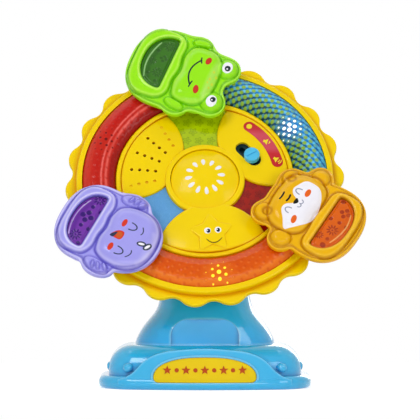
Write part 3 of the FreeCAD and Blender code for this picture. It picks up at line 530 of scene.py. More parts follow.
view = {
    "target": Vector((0.00357, -0.01055, 0.12394)),
    "elevation": 1.5,
    "distance": 3.5,
    "frameWidth": 0.294,   # metres across the picture at the wheel
    "sensor": 36.0,
}

lamps = {
    "key": {"spot": (-0.70, -0.95, 1.15), "size": (0.6, 0.6), "power": 7.8},
    "fill": {"spot": (0.95, -0.95, 0.55), "size": (0.5, 0.7), "power": 3.4},
    "top": {"spot": (0.0, 0.15, 1.15), "size": (1.2, 0.6), "power": 3.0},
    "low": {"spot": (0.0, -1.2, 0.10), "size": (1.2, 0.2), "power": 3.0},
    "back": {"spot": (0.35, 1.3, 0.45), "size": (0.9, 0.6), "power": 5.0},
}


def makeCamera():
    camera = bpy.data.cameras.new("camera")
    camera.sensor_width = view["sensor"]
    camera.lens = view["sensor"] * view["distance"] / view["frameWidth"]
    camera.clip_end = 20.0
    holder = linked("camera", camera)
    tilt = math.radians(view["elevation"])
    away = Vector((0.0, -math.cos(tilt), math.sin(tilt)))
    holder.location = view["target"] + away * view["distance"]
    holder.rotation_euler = (math.pi / 2 - tilt, 0.0, 0.0)
    bpy.context.scene.camera = holder


def makeLamps():
    aim = Vector((0.0, 0.0, 0.11))
    for name, lamp in lamps.items():
        light = bpy.data.lights.new(name, "AREA")
        light.shape = "RECTANGLE"
        light.size, light.size_y = lamp["size"]
        light.energy = lamp["power"]
        holder = linked(name, light)
        holder.location = lamp["spot"]
        holder.rotation_euler = (aim - holder.location).to_track_quat("-Z", "Y").to_euler()


surroundings = {"white": (1.0, 1.0, 1.0, 1.0), "daylight": 0.27, "floorHalf": 4.0, "floorLift": 0.62,
                "whiteFrom": 0.23, "whiteSoft": 0.20}


def plainRays(start):
    # rays that see the plain white surroundings: the camera's own and those off gloss or through glass
    camera, glossy, through = [start.node("ShaderNodeLightPath", out=f"Is {kind} Ray")
                               for kind in ("Camera", "Glossy", "Transmission")]
    return start.math("MAXIMUM", start.math("MAXIMUM", camera, glossy), through)


def plainLight(start, kind, strength):
    return start.node(kind, {}, {"Color": surroundings["white"], "Strength": strength})


def makeWorld():
    world = bpy.data.worlds.new("studio")
    bpy.context.scene.world = world
    world.use_nodes = True
    world.node_tree.nodes.clear()
    start = Wire(world.node_tree)
    soft = plainLight(start, "ShaderNodeBackground", surroundings["daylight"])
    white = plainLight(start, "ShaderNodeBackground", 1.0)
    mixed = start.node("ShaderNodeMixShader", {}, {0: plainRays(start), 1: soft, 2: white})
    start.node("ShaderNodeOutputWorld", {}, {"Surface": mixed})


def makeFloor():
    # pale floor that keeps the toy's soft shadow and turns into plain white further off
    half = surroundings["floorHalf"]
    corners = [(-half, -half, 0.0), (half, -half, 0.0), (half, half, 0.0), (-half, half, 0.0)]
    mesh = bpy.data.meshes.new("floor")
    mesh.from_pydata(corners, [], [(0, 1, 2, 3)])
    floor = linked("floor", mesh)
    material, start = newMaterial("paleFloor")
    point = objectPoint(start)
    reach = start.node("ShaderNodeVectorMath", {"operation": "LENGTH"}, {0: point}, "Value")
    away = 1.0 - reach.under(surroundings["whiteFrom"], surroundings["whiteSoft"])
    seen = plainRays(start)
    shade = noise(start, point, 90.0).tint(paint("F4F4F4"), paint("F8F8F8"))
    matt = start.node("ShaderNodeBsdfDiffuse", {}, {"Color": shade})
    lift = plainLight(start, "ShaderNodeEmission", seen * surroundings["floorLift"])
    lifted = start.node("ShaderNodeAddShader", {}, {0: matt, 1: lift})
    white = plainLight(start, "ShaderNodeEmission", 1.0)
    mixed = start.node("ShaderNodeMixShader", {}, {0: away * seen, 1: lifted, 2: white})
    start.node("ShaderNodeOutputMaterial", {}, {"Surface": mixed})
    mesh.materials.append(material)


bpy.context.scene.view_settings.view_transform = "Standard"
makeCamera()
makeLamps()
makeWorld()
makeFloor()
print("stage set")


# Finishes of the carried-over pieces

# the crease colours below are painted shade in folds and inner corners, the crest colours painted
# highlights on outer corners
sunny = {"rough": 0.24, "coat": 0.12, "mottle": 0.08, "skin": 0.05, "gloss": 0.08,
         "creaseShade": paint("DC8A00"), "creaseShadeReach": 0.0045, "crest": paint("FFE424"),
         "crestHighlightReach": 0.0012}
glossyBlue = {"rough": 0.13, "coat": 0.45, "mottle": 0.08, "skin": 0.04, "gloss": 0.35,
              "creaseShade": paint("1C8CC8"), "creaseShadeReach": 0.004, "crest": paint("A4E8FF"),
              "crestHighlightReach": 0.0018}
plastics = {
    "yellow": ("F6D400", sunny),
    "sky": ("26B8EE", glossyBlue),
    # the neck is the plinth's blue plastic, painted bluer to offset the yellow light the wheel throws
    # onto it
    "neck": ("1AB8FC", glossyBlue),
    "plate": ("F0CE00", {"rough": 0.30, "coat": 0.10, "mottle": 0.05, "gloss": 0.1}),
    "knob": ("4CBCE8", {"rough": 0.30, "coat": 0.2}),
    "teal": ("10343C", {"rough": 0.45, "coat": 0.0, "mottle": 0.2}),
    "black": ("1A1A1C", {"rough": 0.5, "coat": 0.0, "mottle": 0.25}),
    "rubber": ("262626", {"rough": 0.75, "coat": 0.0, "mottle": 0.3, "skin": 0.3}),
    "lime": ("A2EC14", {"rough": 0.22, "mottle": 0.08}),
    "lavender": ("ABA5F0", {"rough": 0.24, "mottle": 0.08}),
    "amber": ("F2B000", {"rough": 0.22, "mottle": 0.08}),
    "bush": ("DEDCD4", {"rough": 0.45, "coat": 0.0}),
    "wrap": ("3A3E44", {"rough": 0.35, "coat": 0.2}),
    "board": ("2C6A3A", {"rough": 0.4, "coat": 0.3, "cloudScale": 180.0, "mottle": 0.3}),
    "lamp": ("F2F2E8", {"rough": 0.1, "coat": 0.6}),
}
finishes = {name: mouldedPlastic(name, code, look) for name, (code, look) in plastics.items()}


def platedSteel(name, code, rough):
    material, start = newMaterial(name)
    point = objectPoint(start)
    stretched = start.node("ShaderNodeMapping", {}, {"Vector": point, "Scale": (1.0, 1.0, 14.0)})
    brushed = noise(start, stretched, 900.0, 4.0, 0.6)
    bump = start.node("ShaderNodeBump", {}, {"Strength": 0.12, "Distance": 0.0002, "Height": brushed},
                      "Normal")
    dull = tuple(0.8 * channel for channel in paint(code)[:3]) + (1.0,)
    shade = noise(start, point, 130.0, 3.0, 0.6).tint(dull, paint(code))
    closeMaterial(start, {"Base Color": shade, "Metallic": 1.0, "Roughness": rough + brushed * 0.14,
                          "Normal": bump})
    return material


finishes["steel"] = platedSteel("platedSteel", "C8C8CC", 0.22)
finishes["spring"] = platedSteel("springSteel", "A8A8AE", 0.30)


def wheelPoint(start):
    # object coordinates brought to millimetres on the wheel's face
    return start.node("ShaderNodeMapping", {"vector_type": "TEXTURE"}, {
        "Vector": objectPoint(start), "Location": tuple(hub), "Rotation": tuple(wheelTurn.to_euler()),
        "Scale": (mm, mm, mm)})


def faceXY(start):
    point = wheelPoint(start)
    return point.part("X"), point.part("Y")


def rampOf(start, factor, low, high, stops):
    # a colour ramp written with the ramp's own units and paint codes
    placed = [((spot - low) / (high - low), paint(code)) for spot, code in stops]
    return start.node("ShaderNodeValToRGB", {"stops": placed},
                      {"Fac": (factor - low) / (high - low)}, "Color")


def flowerPane(name, colour, ink, deep, pitch=8.4, share=0.7):
    # flat clear plastic with rows of small moulded flowers
    material, start = newMaterial(name)
    x, y = faceXY(start)
    rowPitch = pitch * 0.86
    row = y / rowPitch
    odd = start.math("FLOORED_MODULO", start.math("FLOOR", row), 2.0)
    sideways = (start.math("FRACT", x / pitch + odd * 0.5) - 0.5) * pitch
    upward = (start.math("FRACT", row) - 0.5) * rowPitch
    reach = start.distance(sideways, upward)
    angle = start.math("ARCTAN2", upward, sideways)
    edge = start.math("COSINE", angle * 5.0 + odd * 1.6) * 0.65 + 2.2
    outline = start.math("ABSOLUTE", reach - edge).under(0.35, 0.5)
    drawn = start.math("MAXIMUM", outline, reach.under(0.6, 0.4))
    filled = start.math("MAXIMUM", drawn, reach.under(1.8, 1.0) * 0.45)
    base = noise(start, objectPoint(start), 190.0, 3.0, 0.6).tint(paint(deep), paint(colour))
    look = {"rough": 0.16, "coat": 0.3, "mottle": 0.2, "cloudScale": 300.0, "gloss": 0.12}
    closeMaterial(start, mouldedSkin(start, (filled * share).tint(base, paint(ink)), look))
    return material


finishes["olivePane"] = flowerPane("olivePane", "BCD400", "789400", "A4BC00")
finishes["bluePane"] = flowerPane("bluePane", "66A8DE", "4C90CC", "5A9ED8", 6.0, 0.35)
finishes["redPane"] = flowerPane("redPane", "A81802", "680800", "921000")


def labelFinish():
    # a printed strip, deep red at its ends, with a painted sheen that makes it paler in the middle
    material, start = newMaterial("labelRed")
    shade = rampOf(start, faceXY(start)[1], 8.0, 48.0, [
        (14, "C01C20"), (20, "C4202A"), (24, "CC4656"), (36, "CC4858"), (40, "C22A34"), (44, "BC1A1C")])
    look = {"rough": 0.26, "coat": 0.25, "cloudScale": 60.0, "mottle": 0.12, "gloss": 0.15}
    closeMaterial(start, mouldedSkin(start, shade, look))
    return material


finishes["label"] = labelFinish()

carriedOver = {
    "sky": ["base_plinth", "base_bottom_plate"],
    "neck": ["neck_front_shell", "neck_rear_shell"],
    "yellow": ["wheel_front_shell", "wheel_rear_shell", "button_cap", "battery_door"],
    "plate": ["nameplate"],
    "label": ["switch_label"],
    "knob": ["switch_knob"],
    "teal": ["slide_switch"],
    "olivePane": ["green_web_window"],
    "bluePane": ["blue_web_window"],
    "redPane": ["red_web_window"],
    "lime": ["frog_back"],
    "lavender": ["bird_back"],
    "amber": ["bear_back"],
    "steel": ["base_screws", "neck_screws", "rear_shell_screws", "wheel_axle", "axle_retainer",
              "battery_door_screw", "gondola_pivot_pins", "gondola_retainers", "frog_screws",
              "bird_screws", "bear_screws"],
    "spring": ["battery_contacts"],
    "black": ["button_bezel", "button_switch", "speaker"],
    "rubber": ["rubber_feet"],
    "bush": ["hub_bush"],
    "board": ["circuit_board", "led_boards"],
    "lamp": ["leds"],
    "wrap": ["batteries"],
}
for finish, nodes in carriedOver.items():
    for node in nodes:
        mesh = frame["nodes"][node].data
        mesh.materials.clear()
        mesh.materials.append(finishes[finish])
print("finishes on the carried-over pieces:", len(carriedOver))


# Gondolas: an animal's head and arms above a basket, in the gondola's own frame with the pivot at 0, 0

levels = {"joint": 10.6, "margin": 11.7, "plate": 12.6, "rim": 14.2, "pane": 12.3, "print": 0.18}
moulding = {"grooveDepth": 0.7, "grooveWidth": 0.65, "lineWidth": 1.0, "lip": 0.45, "lipWidth": 0.8,
            "borderWidth": 0.9, "footDepth": 0.35, "footWidth": 0.5, "rimSoft": 2.2, "sill": 0.9,
            "corner": 5.0}
fineness = {"box": (-42.0, 42.0, -50.0, 40.0), "shellStep": 0.4, "shellEdge": 0.9, "paneStep": 0.35,
            "paneEdge": 0.4}

# An oval is its middle, half width and half height, then its power and its tilt in degrees
frog = {
    "up": -22.2,
    "look": {"rough": 0.2, "coat": 0.18, "gloss": 0.15, "mottle": 0.08},
    "slot": "lime_plastic", "paneSlot": "dark_green_clear", "paneColour": "38721A", "paneInk": "2C5E16",
    "paneGleam": "A8D890", "paneDeep": "1E4A12",
    "outline": [
        (-0.4, -18.0, 31.6, 30.0, 2.5), (-23.6, -4.2, 10.0, 10.0), (23.8, -4.4, 10.0, 10.0),
        (0.0, 5.0, 26.0, 18.2, 2.6), (-14.2, 18.7, 10.9, 10.9), (14.6, 18.5, 10.9, 10.9)],
    "margin": 2.4,
    "raised": [
        ((-14.8, 19.6, 8.0, 8.0), 3.6, 6.0), ((14.2, 19.2, 8.3, 8.3), 3.6, 6.0),
        ((-27.4, -4.2, 3.4, 7.0, 2.2, 8.0), 1.9, 2.6), ((25.6, -4.8, 3.8, 7.8, 2.2, -12.0), 1.9, 2.6)],
    "face": (-1.0, 0.9, 24.0, 16.5, 2.6), "faceRise": 4.4, "faceSoft": 8.0,
    "rim": (-1.0, -27.6, 28.4, 18.2, 2.8), "chin": (-12.0, 0.8, 21.0, -2.0),
    "window": (-2.6, 21.2, -19.2, -39.0), "gleam": ((-17.0, -31.5), (-2.0, -35.3), (12.0, -33.0), 0.9),
    "drawing": (2.0, 0.8),
    "inks": {
        "pale": [(-2.0, 11.8, 15.0, 2.2, 2.0), (-1.0, -9.4, 13.0, 0.9, 2.0)],
        "white": [(-16.4, 19.2, 4.4, 3.7), (13.1, 18.9, 4.5, 3.7)],
        "dark": [
            (-15.6, 19.7, 2.2, 2.1), (11.9, 19.6, 2.1, 2.0),
            ("stroke", (-14.4, 0.4), (-4.0, -4.1), (6.6, -0.4), 1.15),
            ("stroke", (-16.3, -0.2), (-14.4, 0.3), (-12.3, 1.2), 0.95),
            ("stroke", (4.0, 0.6), (6.4, 0.1), (9.0, -0.1), 0.95)],
        "glint": [(-15.1, 19.5, 0.6, 0.6), (12.4, 19.0, 0.6, 0.6)],
        "red": [(-15.6, 5.2, 3.1, 2.0, 2.0, -8.0), (9.1, 5.4, 3.5, 2.0, 2.0, 12.0)],
        "gold": [
            (-6.3, 14.6, 1.1, 0.8), (0.2, 14.0, 1.2, 0.8), (3.8, 13.0, 0.9, 0.7), (-9.1, 11.9, 1.1, 0.8),
            (-2.6, 11.4, 1.1, 0.8), (0.6, 10.8, 0.8, 0.6)],
    },
    "prints": [
        ("flower", -16.0, -24.5, 4.0), ("clover", -5.5, -25.0, 3.0), ("flower", 6.5, -25.0, 4.2),
        (13.5, -24.0, 1.3, 1.3), (-10.5, -31.0, 1.4, 1.4), ("flower", -1.0, -31.5, 3.0),
        (9.0, -31.5, 1.3, 1.3)],
    # the groove colour is painted shade in the moulding's lines, the crest colour a painted highlight on
    # its edges
    "shades": {
        "base": "98EA06", "groove": "5AB400", "crest": "D0FC64", "crestHighlightShare": 0.75, "red": "C8321E",
        "dark": "10262A", "gold": "E4E01C", "pale": "C8F078",
    },
}

bird = {
    "up": -27.5,
    "look": {"rough": 0.22, "coat": 0.25, "gloss": 0.2, "mottle": 0.08},
    "slot": "lavender_plastic", "paneSlot": "purple_clear", "paneColour": "7230A4", "paneInk": "32066C",
    "paneGleam": "D8C0F4", "paneDeep": "3A0A7C",
    "outline": [
        (2.9, -14.8, 30.6, 25.1, 2.4), (3.4, 9.0, 26.6, 26.6, 2.1), (-22.6, 3.4, 8.4, 12.2),
        (30.6, 2.6, 8.6, 12.2)],
    "margin": 3.0,
    "raised": [
        ((-24.4, 2.6, 4.8, 9.6, 2.2, 6.0), 1.5, 3.0), ((32.0, 1.8, 4.8, 9.8, 2.2, -8.0), 1.5, 3.0),
        ((-23.4, 8.8, 3.2, 1.7, 2.0, -42.0), 2.6, 1.5), ((-24.6, 4.6, 3.2, 1.6, 2.0, -30.0), 2.6, 1.5),
        ((-24.8, 0.6, 3.0, 1.5, 2.0, -18.0), 2.6, 1.5), ((31.0, 8.0, 3.2, 1.7, 2.0, 42.0), 2.6, 1.5),
        ((32.4, 3.8, 3.2, 1.6, 2.0, 30.0), 2.6, 1.5), ((32.8, -0.2, 3.0, 1.5, 2.0, 18.0), 2.6, 1.5)],
    "face": (3.6, 11.4, 24.2, 21.4, 2.4), "faceRise": 4.4, "faceSoft": 8.5,
    "rim": (3.2, -20.2, 27.2, 16.4, 2.8), "chin": (-6.7, 0.5, 17.0, 3.0),
    "window": (3.5, 21.5, -14.2, -31.2), "gleam": ((-11.0, -25.0), (3.5, -29.0), (18.5, -26.5), 0.9),
    "drawing": (2.0, 1.0),
    "inks": {
        "pale": [("stroke", (-8.0, 26.5), (4.0, 30.2), (17.0, 26.0), 1.6)],
        "white": [(3.0, 27.0, 2.5, 0.8, 2.0, -25.0), (3.2, 22.5, 0.9, 2.3, 2.0, 15.0)],
        "dark": [
            ("arc", -5.9, 9.2, 2.8, 4.9, 0.9), ("arc", 15.1, 9.0, 3.0, 5.1, 0.9),
            ("stroke", (-8.6, 17.6), (-5.5, 19.3), (-3.0, 18.8), 0.75),
            ("stroke", (11.0, 18.8), (14.0, 19.4), (17.2, 17.2), 0.75),
            ("patch", (1.4, 3.8), (5.2, 3.2), (7.6, 2.2), (6.8, -1.0), (4.4, 0.4))],
        "outline": [(3.0, 27.0, 3.7, 1.9, 2.0, -25.0), (3.2, 22.5, 2.0, 3.4, 2.0, 15.0)],
        "red": [
            (-6.3, 4.4, 3.2, 1.7), (14.6, 4.3, 3.2, 1.8),
            ("patch", (0.2, 8.0), (3.6, 8.8), (7.2, 7.8), (7.4, 4.6), (6.9, 1.2), (6.2, -0.8), (3.6, 0.8),
             (1.0, 2.8), (0.0, 5.4))],
        "orange": [(3.8, 5.5, 2.5, 2.1, 2.2)],
    },
    "prints": [
        ("clover", 1.3, -21.3, 5.0), (-7.1, -21.0, 1.5, 1.5), (9.3, -21.8, 1.5, 1.5),
        ("flower", 17.5, -21.5, 4.4), ("flower", -14.2, -19.5, 4.4), (9.7, -16.0, 1.5, 1.2),
        (-6.0, -15.0, 1.6, 0.8), (9.5, -28.5, 1.3, 1.0), (-7.5, -26.8, 1.4, 1.1),
        (22.5, -17.0, 1.2, 1.4)],
    # the groove colour is painted shade in the moulding's lines, the crest colour a painted highlight on
    # its edges
    "shades": {
        "base": "A29EEE", "groove": "5C50C0", "crest": "E4E0FF", "crestHighlightShare": 0.8, "red": "D8300E",
        "dark": "1C2A44", "orange": "CC5810", "pale": "D2CCFC",
    },
}

bear = {
    "up": 148.8,
    "look": {"rough": 0.2, "coat": 0.14, "gloss": 0.1, "mottle": 0.08},
    "slot": "amber_plastic", "paneSlot": "deep_orange_clear", "paneColour": "DC6004", "paneInk": "A43406",
    "paneGleam": "F4C070", "paneDeep": "C85008",
    "outline": [
        (-1.2, -15.4, 30.6, 26.6, 2.4), (1.2, 8.6, 26.0, 21.6, 2.5), (-27.6, 4.2, 9.6, 9.6),
        (27.4, 4.4, 9.2, 9.2), (-15.6, 24.6, 9.4, 9.4), (16.2, 21.6, 9.0, 9.0)],
    "margin": 2.2,
    "raised": [
        ((-15.8, 24.4, 7.0, 7.0), 2.2, 2.4), ((16.4, 21.6, 6.6, 6.6), 2.2, 2.4),
        ((-27.6, 4.0, 6.6, 7.4, 2.0, 10.0), 2.6, 4.5), ((27.6, 4.2, 6.2, 6.8, 2.0, -10.0), 2.6, 4.5)],
    "hollows": [((-15.0, 22.4, 4.6, 4.6), 1.9, 2.8), ((15.6, 20.6, 4.2, 4.2), 1.9, 2.8)],
    "face": (1.0, 7.6, 24.0, 18.0, 2.5), "faceRise": 4.4, "faceSoft": 8.5,
    "rim": (-1.2, -21.4, 27.0, 16.6, 2.8), "chin": (-8.2, 0.4, 26.0, -1.0),
    "window": (-0.6, 22.0, -15.4, -33.8), "gleam": ((-14.0, -27.5), (0.0, -31.0), (12.0, -29.0), 0.8),
    "drawing": (-1.9, -1.1),
    "inks": {
        "white": [
            ("patch", (-20.4, 6.8), (-14.0, 10.5), (-10.0, 14.2), (-6.5, 15.9), (-2.8, 14.7),
             (-0.6, 11.0), (2.0, 9.0), (4.4, 10.4), (6.0, 14.4), (10.0, 16.6), (14.0, 15.0), (20.4, 11.7),
             (20.8, 6.0), (19.8, 0.0), (14.4, -4.2), (7.0, -6.6), (0.0, -7.1), (-7.0, -5.8),
             (-13.0, -1.7), (-17.4, 3.0))],
        "dark": [
            ("patch", (-0.8, 10.4), (2.1, 11.0), (5.0, 10.4), (4.2, 8.8), (2.2, 7.4), (0.2, 8.8)),
            ("stroke", (-1.7, 20.4), (1.3, 20.0), (4.3, 20.4), 1.35),
            ("stroke", (-0.8, 15.4), (1.8, 15.0), (4.4, 15.4), 1.35)],
        "grey": [
            ("arc", -6.3, 9.4, 2.2, 3.6, 0.8), ("arc", 10.2, 10.4, 2.1, 3.8, 0.8),
            ("arc", 0.5, 6.3, 1.5, -1.6, 0.7), ("arc", 3.6, 6.4, 1.6, -1.7, 0.7)],
        "red": [(-10.8, 3.6, 3.3, 1.9, 2.0, 12.0), (12.0, 5.7, 3.3, 1.9, 2.0, 3.0)],
    },
    "prints": [
        ("flower", -4.8, -24.0, 4.4), (-12.4, -24.5, 1.4, 1.4), (2.8, -25.2, 1.4, 1.4),
        ("clover", 11.2, -25.0, 4.2), ("flower", -12.5, -18.0, 3.2), (2.8, -18.3, 1.6, 1.5),
        (-18.0, -24.0, 1.8, 2.0), (19.0, -19.0, 2.0, 2.0), (2.0, -30.5, 1.4, 0.9)],
    # the groove colour is painted shade in the moulding's lines, the crest colour a painted highlight on
    # its edges
    "shades": {
        "base": "EEB400", "groove": "B06C00", "crest": "FFD040", "crestHighlightShare": 0.6, "red": "E8641C",
        "dark": "14120E",
    },
}

gondolas = {"frog": frog, "bird": bird, "bear": bear}


def chinLine(x, chin):
    level, sway, length, crest = chin
    return level + sway * np.cos(2.0 * math.pi * (x - crest) / length)


def windowField(x, y, window, grow=0.0):
    # flat on top, a deep bowl below
    middle, halfWidth, top, bottom = window
    bowl = ovalField(x, y, middle, top - 2.0, halfWidth + grow, top - 2.0 - bottom + grow, 2.25)
    return trimmed(bowl, y - (top + grow), 3.4)


def ridge(distance, width):
    return np.exp(-(distance / width) ** 2)


def eased(share):
    share = np.clip(share, 0.0, 1.0)
    return share * share * (3.0 - 2.0 * share)


def raiseForm(level, distance, rise, soft, plate):
    # a soft pillow above the plate, with a fine groove round its foot
    dome = plate + rise * np.sin(0.5 * math.pi * np.clip(-distance / soft, 0.0, 1.0))
    groove = moulding["grooveDepth"] * ridge(distance, moulding["grooveWidth"])
    return np.where(distance < 0.0, np.maximum(level, dome), level) - groove


def gondolaForms(one, x, y):
    outline = unionField(x, y, one["outline"], moulding["corner"])
    chin = chinLine(x, one["chin"])
    face = trimmed(ovalField(x, y, *one["face"]), chin + 0.5 - y, 2.5)
    rim = trimmed(ovalField(x, y, *one["rim"]), y - chin + 0.1, 4.0)
    return outline, face, rim, windowField(x, y, one["window"])


def gondolaHeight(one, x, y):
    outline, face, rim, opening = gondolaForms(one, x, y)
    plate, margin = levels["plate"], levels["margin"]
    level = margin + (plate - margin) * eased(0.5 - (outline + one["margin"]) / moulding["borderWidth"])
    level = level - moulding["footDepth"] * ridge(outline + one["margin"] - 0.5, moulding["footWidth"])
    for form, rise, soft in one["raised"]:
        level = raiseForm(level, ovalField(x, y, *form), rise, soft, plate - 0.2)
    for form, deep, soft in one.get("hollows", []):
        level = level - deep * eased(-ovalField(x, y, *form) / soft)
    level = raiseForm(level, face, one["faceRise"], one["faceSoft"], plate - 0.1)
    level = raiseForm(level, rim, levels["rim"] - plate, moulding["rimSoft"], plate)
    level = level + moulding["lip"] * ridge(opening - 1.2, moulding["lipWidth"])
    return level - moulding["sill"] * ridge(np.maximum(opening, 0.0), moulding["sill"])


def gondolaGrooveShade(one, x, y):
    # how deep a spot lies in one of the moulding's lines, which sets the painted shade that darkens them
    outline, face, rim, opening = gondolaForms(one, x, y)
    wide = moulding["lineWidth"]
    lines = [0.75 * ridge(outline + one["margin"] - 0.4, 0.7 * wide), ridge(face, wide),
             0.9 * ridge(rim, 0.9 * wide), 0.8 * ridge(opening - 0.1, 0.8 * wide)]
    lines += [0.7 * ridge(ovalField(x, y, *raised[0]), 0.7 * wide) * (face >= 0.0)
              for raised in one["raised"]]
    lines += [0.8 * ridge(ovalField(x, y, *hollow[0]) + 1.6, 1.1 * wide)
              for hollow in one.get("hollows", [])]
    return np.max(lines, axis=0)


def gondolaCrestHighlight(one, x, y):
    # painted highlight on the lines that catch light: the rounded border, the pillow's shoulder and the
    # lip of the window
    outline, face, rim, opening = gondolaForms(one, x, y)
    lines = [0.8 * ridge(outline + 1.3, 0.8), 0.6 * ridge(rim + 1.8, 0.9), ridge(opening - 1.5, 0.7),
             0.45 * ridge(face + 2.0, 1.1)]
    return np.max(lines, axis=0)


def gondolaRegion(one, edge, x, y):
    outline = unionField(x, y, one["outline"], moulding["corner"]) + edge
    return np.maximum(outline, edge - windowField(x, y, one["window"]))


def paneHeight(one, x, y):
    rise = eased((-windowField(x, y, one["window"]) - 1.3) / 1.5)
    printed = np.clip(0.5 - inkField(x, y, one["prints"]) / 0.3, 0.0, 1.0)
    return levels["pane"] + rise - levels["print"] * printed


def paneDeep(one, x, y):
    # the foot of the pane and its edge lie in shade
    below = strokeField(x, y - 2.6, *one["gleam"])
    return np.maximum(0.6 * ridge(windowField(x, y, one["window"]), 0.7),
                      0.45 * ridge(np.maximum(below, 0.0), 1.4))


def paneRegion(one, x, y):
    return windowField(x, y, one["window"], -0.25) + fineness["paneEdge"]


inkOrder = {
    # how strongly each ink covers, and over how many millimetres its edge fades
    "pale": (0.5, 3.0), "outline": (1.0, 0.14), "white": (1.0, 0.14), "red": (1.0, 0.14),
    "orange": (1.0, 0.5), "gold": (0.6, 0.6), "dark": (1.0, 0.14), "grey": (1.0, 0.14),
    "glint": (1.0, 0.14),
}


def facePaint(name, one):
    material, start = newMaterial(name)
    shades = {"white": "F4F2FA", "outline": one["shades"]["dark"], "grey": "8C92A6",
              "glint": "F8F8FF", **one["shades"]}
    colour = paint(shades["base"])
    # painted highlight: paler along the moulding's rounded edges
    colour = (start.attribute("crest") * shades["crestHighlightShare"]).tint(colour, paint(shades["crest"]))
    # painted shade darkens the moulding's lines and the feet of its pillows
    colour = (start.attribute("groove") * 0.85).tint(colour, paint(shades["groove"]))
    values = mouldedSkin(start, colour, one["look"])
    for ink, (share, soft) in inkOrder.items():
        if ink in one["inks"]:
            covered = start.attribute(ink).under(0.0, soft) * share
            values["Base Color"] = covered.tint(values["Base Color"], paint(shades[ink]))
    closeMaterial(start, values)
    return material


def panePlastic(name, one):
    material, start = newMaterial(name)
    look = {"rough": 0.16, "coat": 0.2, "mottle": 0.25, "cloudScale": 240.0, "skin": 0.04, "gloss": 0.12}
    shade = start.attribute("print").under(0.0, 0.5).tint(paint(one["paneColour"]), paint(one["paneInk"]))
    shade = start.attribute("deep").tint(shade, paint(one["paneDeep"]))
    # painted highlight: a paler line along the pane's lower step
    shade = (start.attribute("gleam").under(0.0, 0.6) * 0.75).tint(shade, paint(one["paneGleam"]))
    closeMaterial(start, mouldedSkin(start, shade, look))
    return material


def inkFields(inks, dx=0.0, dy=0.0):
    return {ink: lambda x, y, marks=marks: inkField(x - dx, y - dy, marks) for ink, marks in inks.items()}


def makeGondola(name, one):
    place = swivelPlace(name, one["up"])
    box, edge = fineness["box"], fineness["shellEdge"]
    fields = inkFields(one["inks"], *one["drawing"])
    fields["groove"] = partial(gondolaGrooveShade, one)
    fields["crest"] = partial(gondolaCrestHighlight, one)
    shell = reliefPiece(name + "_shell", place, box, fineness["shellStep"],
                        partial(gondolaRegion, one, edge), partial(gondolaHeight, one),
                        levels["joint"], edge, fields)
    seat(shell, name, one["slot"], facePaint(name + "Paint", one), name + "_front")
    fields = inkFields({"print": one["prints"], "gleam": [("stroke", *one["gleam"])]})
    fields["deep"] = partial(paneDeep, one)
    pane = reliefPiece(name + "_pane", place, box, fineness["paneStep"], partial(paneRegion, one),
                       partial(paneHeight, one), levels["joint"] + 0.1, fineness["paneEdge"], fields)
    seat(pane, name, one["paneSlot"], panePlastic(name + "Pane", one), name + "_window")


for name, one in gondolas.items():
    makeGondola(name, one)
    print("gondola made:", name)


# Ring windows: bulging bands with dimples, laid on the windows' own surface

bandRing = {"inner": 62.5, "outer": 85.9, "middle": 74.0, "sweep": 101.6, "wall": 1.2, "above": 20.0}
bands = {
    # a pitch is millimetres along and across the ring, a start is where one cell sits, and shine is how
    # far each cell's painted highlight sits from the cell
    "blue": {"node": "blue_ring_window", "spoke": 36.0, "slot": "blue_clear_plastic",
             "steps": (288, 56), "pitch": (7.35, 4.65), "start": (1.3, 77.1), "cell": 2.1, "rise": 0.5,
             "shine": (1.5, 1.7)},
    "red": {"node": "red_ring_window", "spoke": 156.0, "slot": "red_clear_plastic",
            "steps": (288, 84), "pitch": (9.0, 4.5), "start": (-1.0, 75.5), "cell": 1.3, "rise": -0.15,
            "shine": (0.8, 0.8)},
    "orange": {"node": "orange_ring_window", "spoke": 276.0, "slot": "orange_clear_plastic",
               "steps": (288, 56), "pitch": (8.8, 5.0), "start": (-1.7, 77.0), "cell": 1.7, "rise": -0.2,
               "shine": (0.9, 0.9)},
}


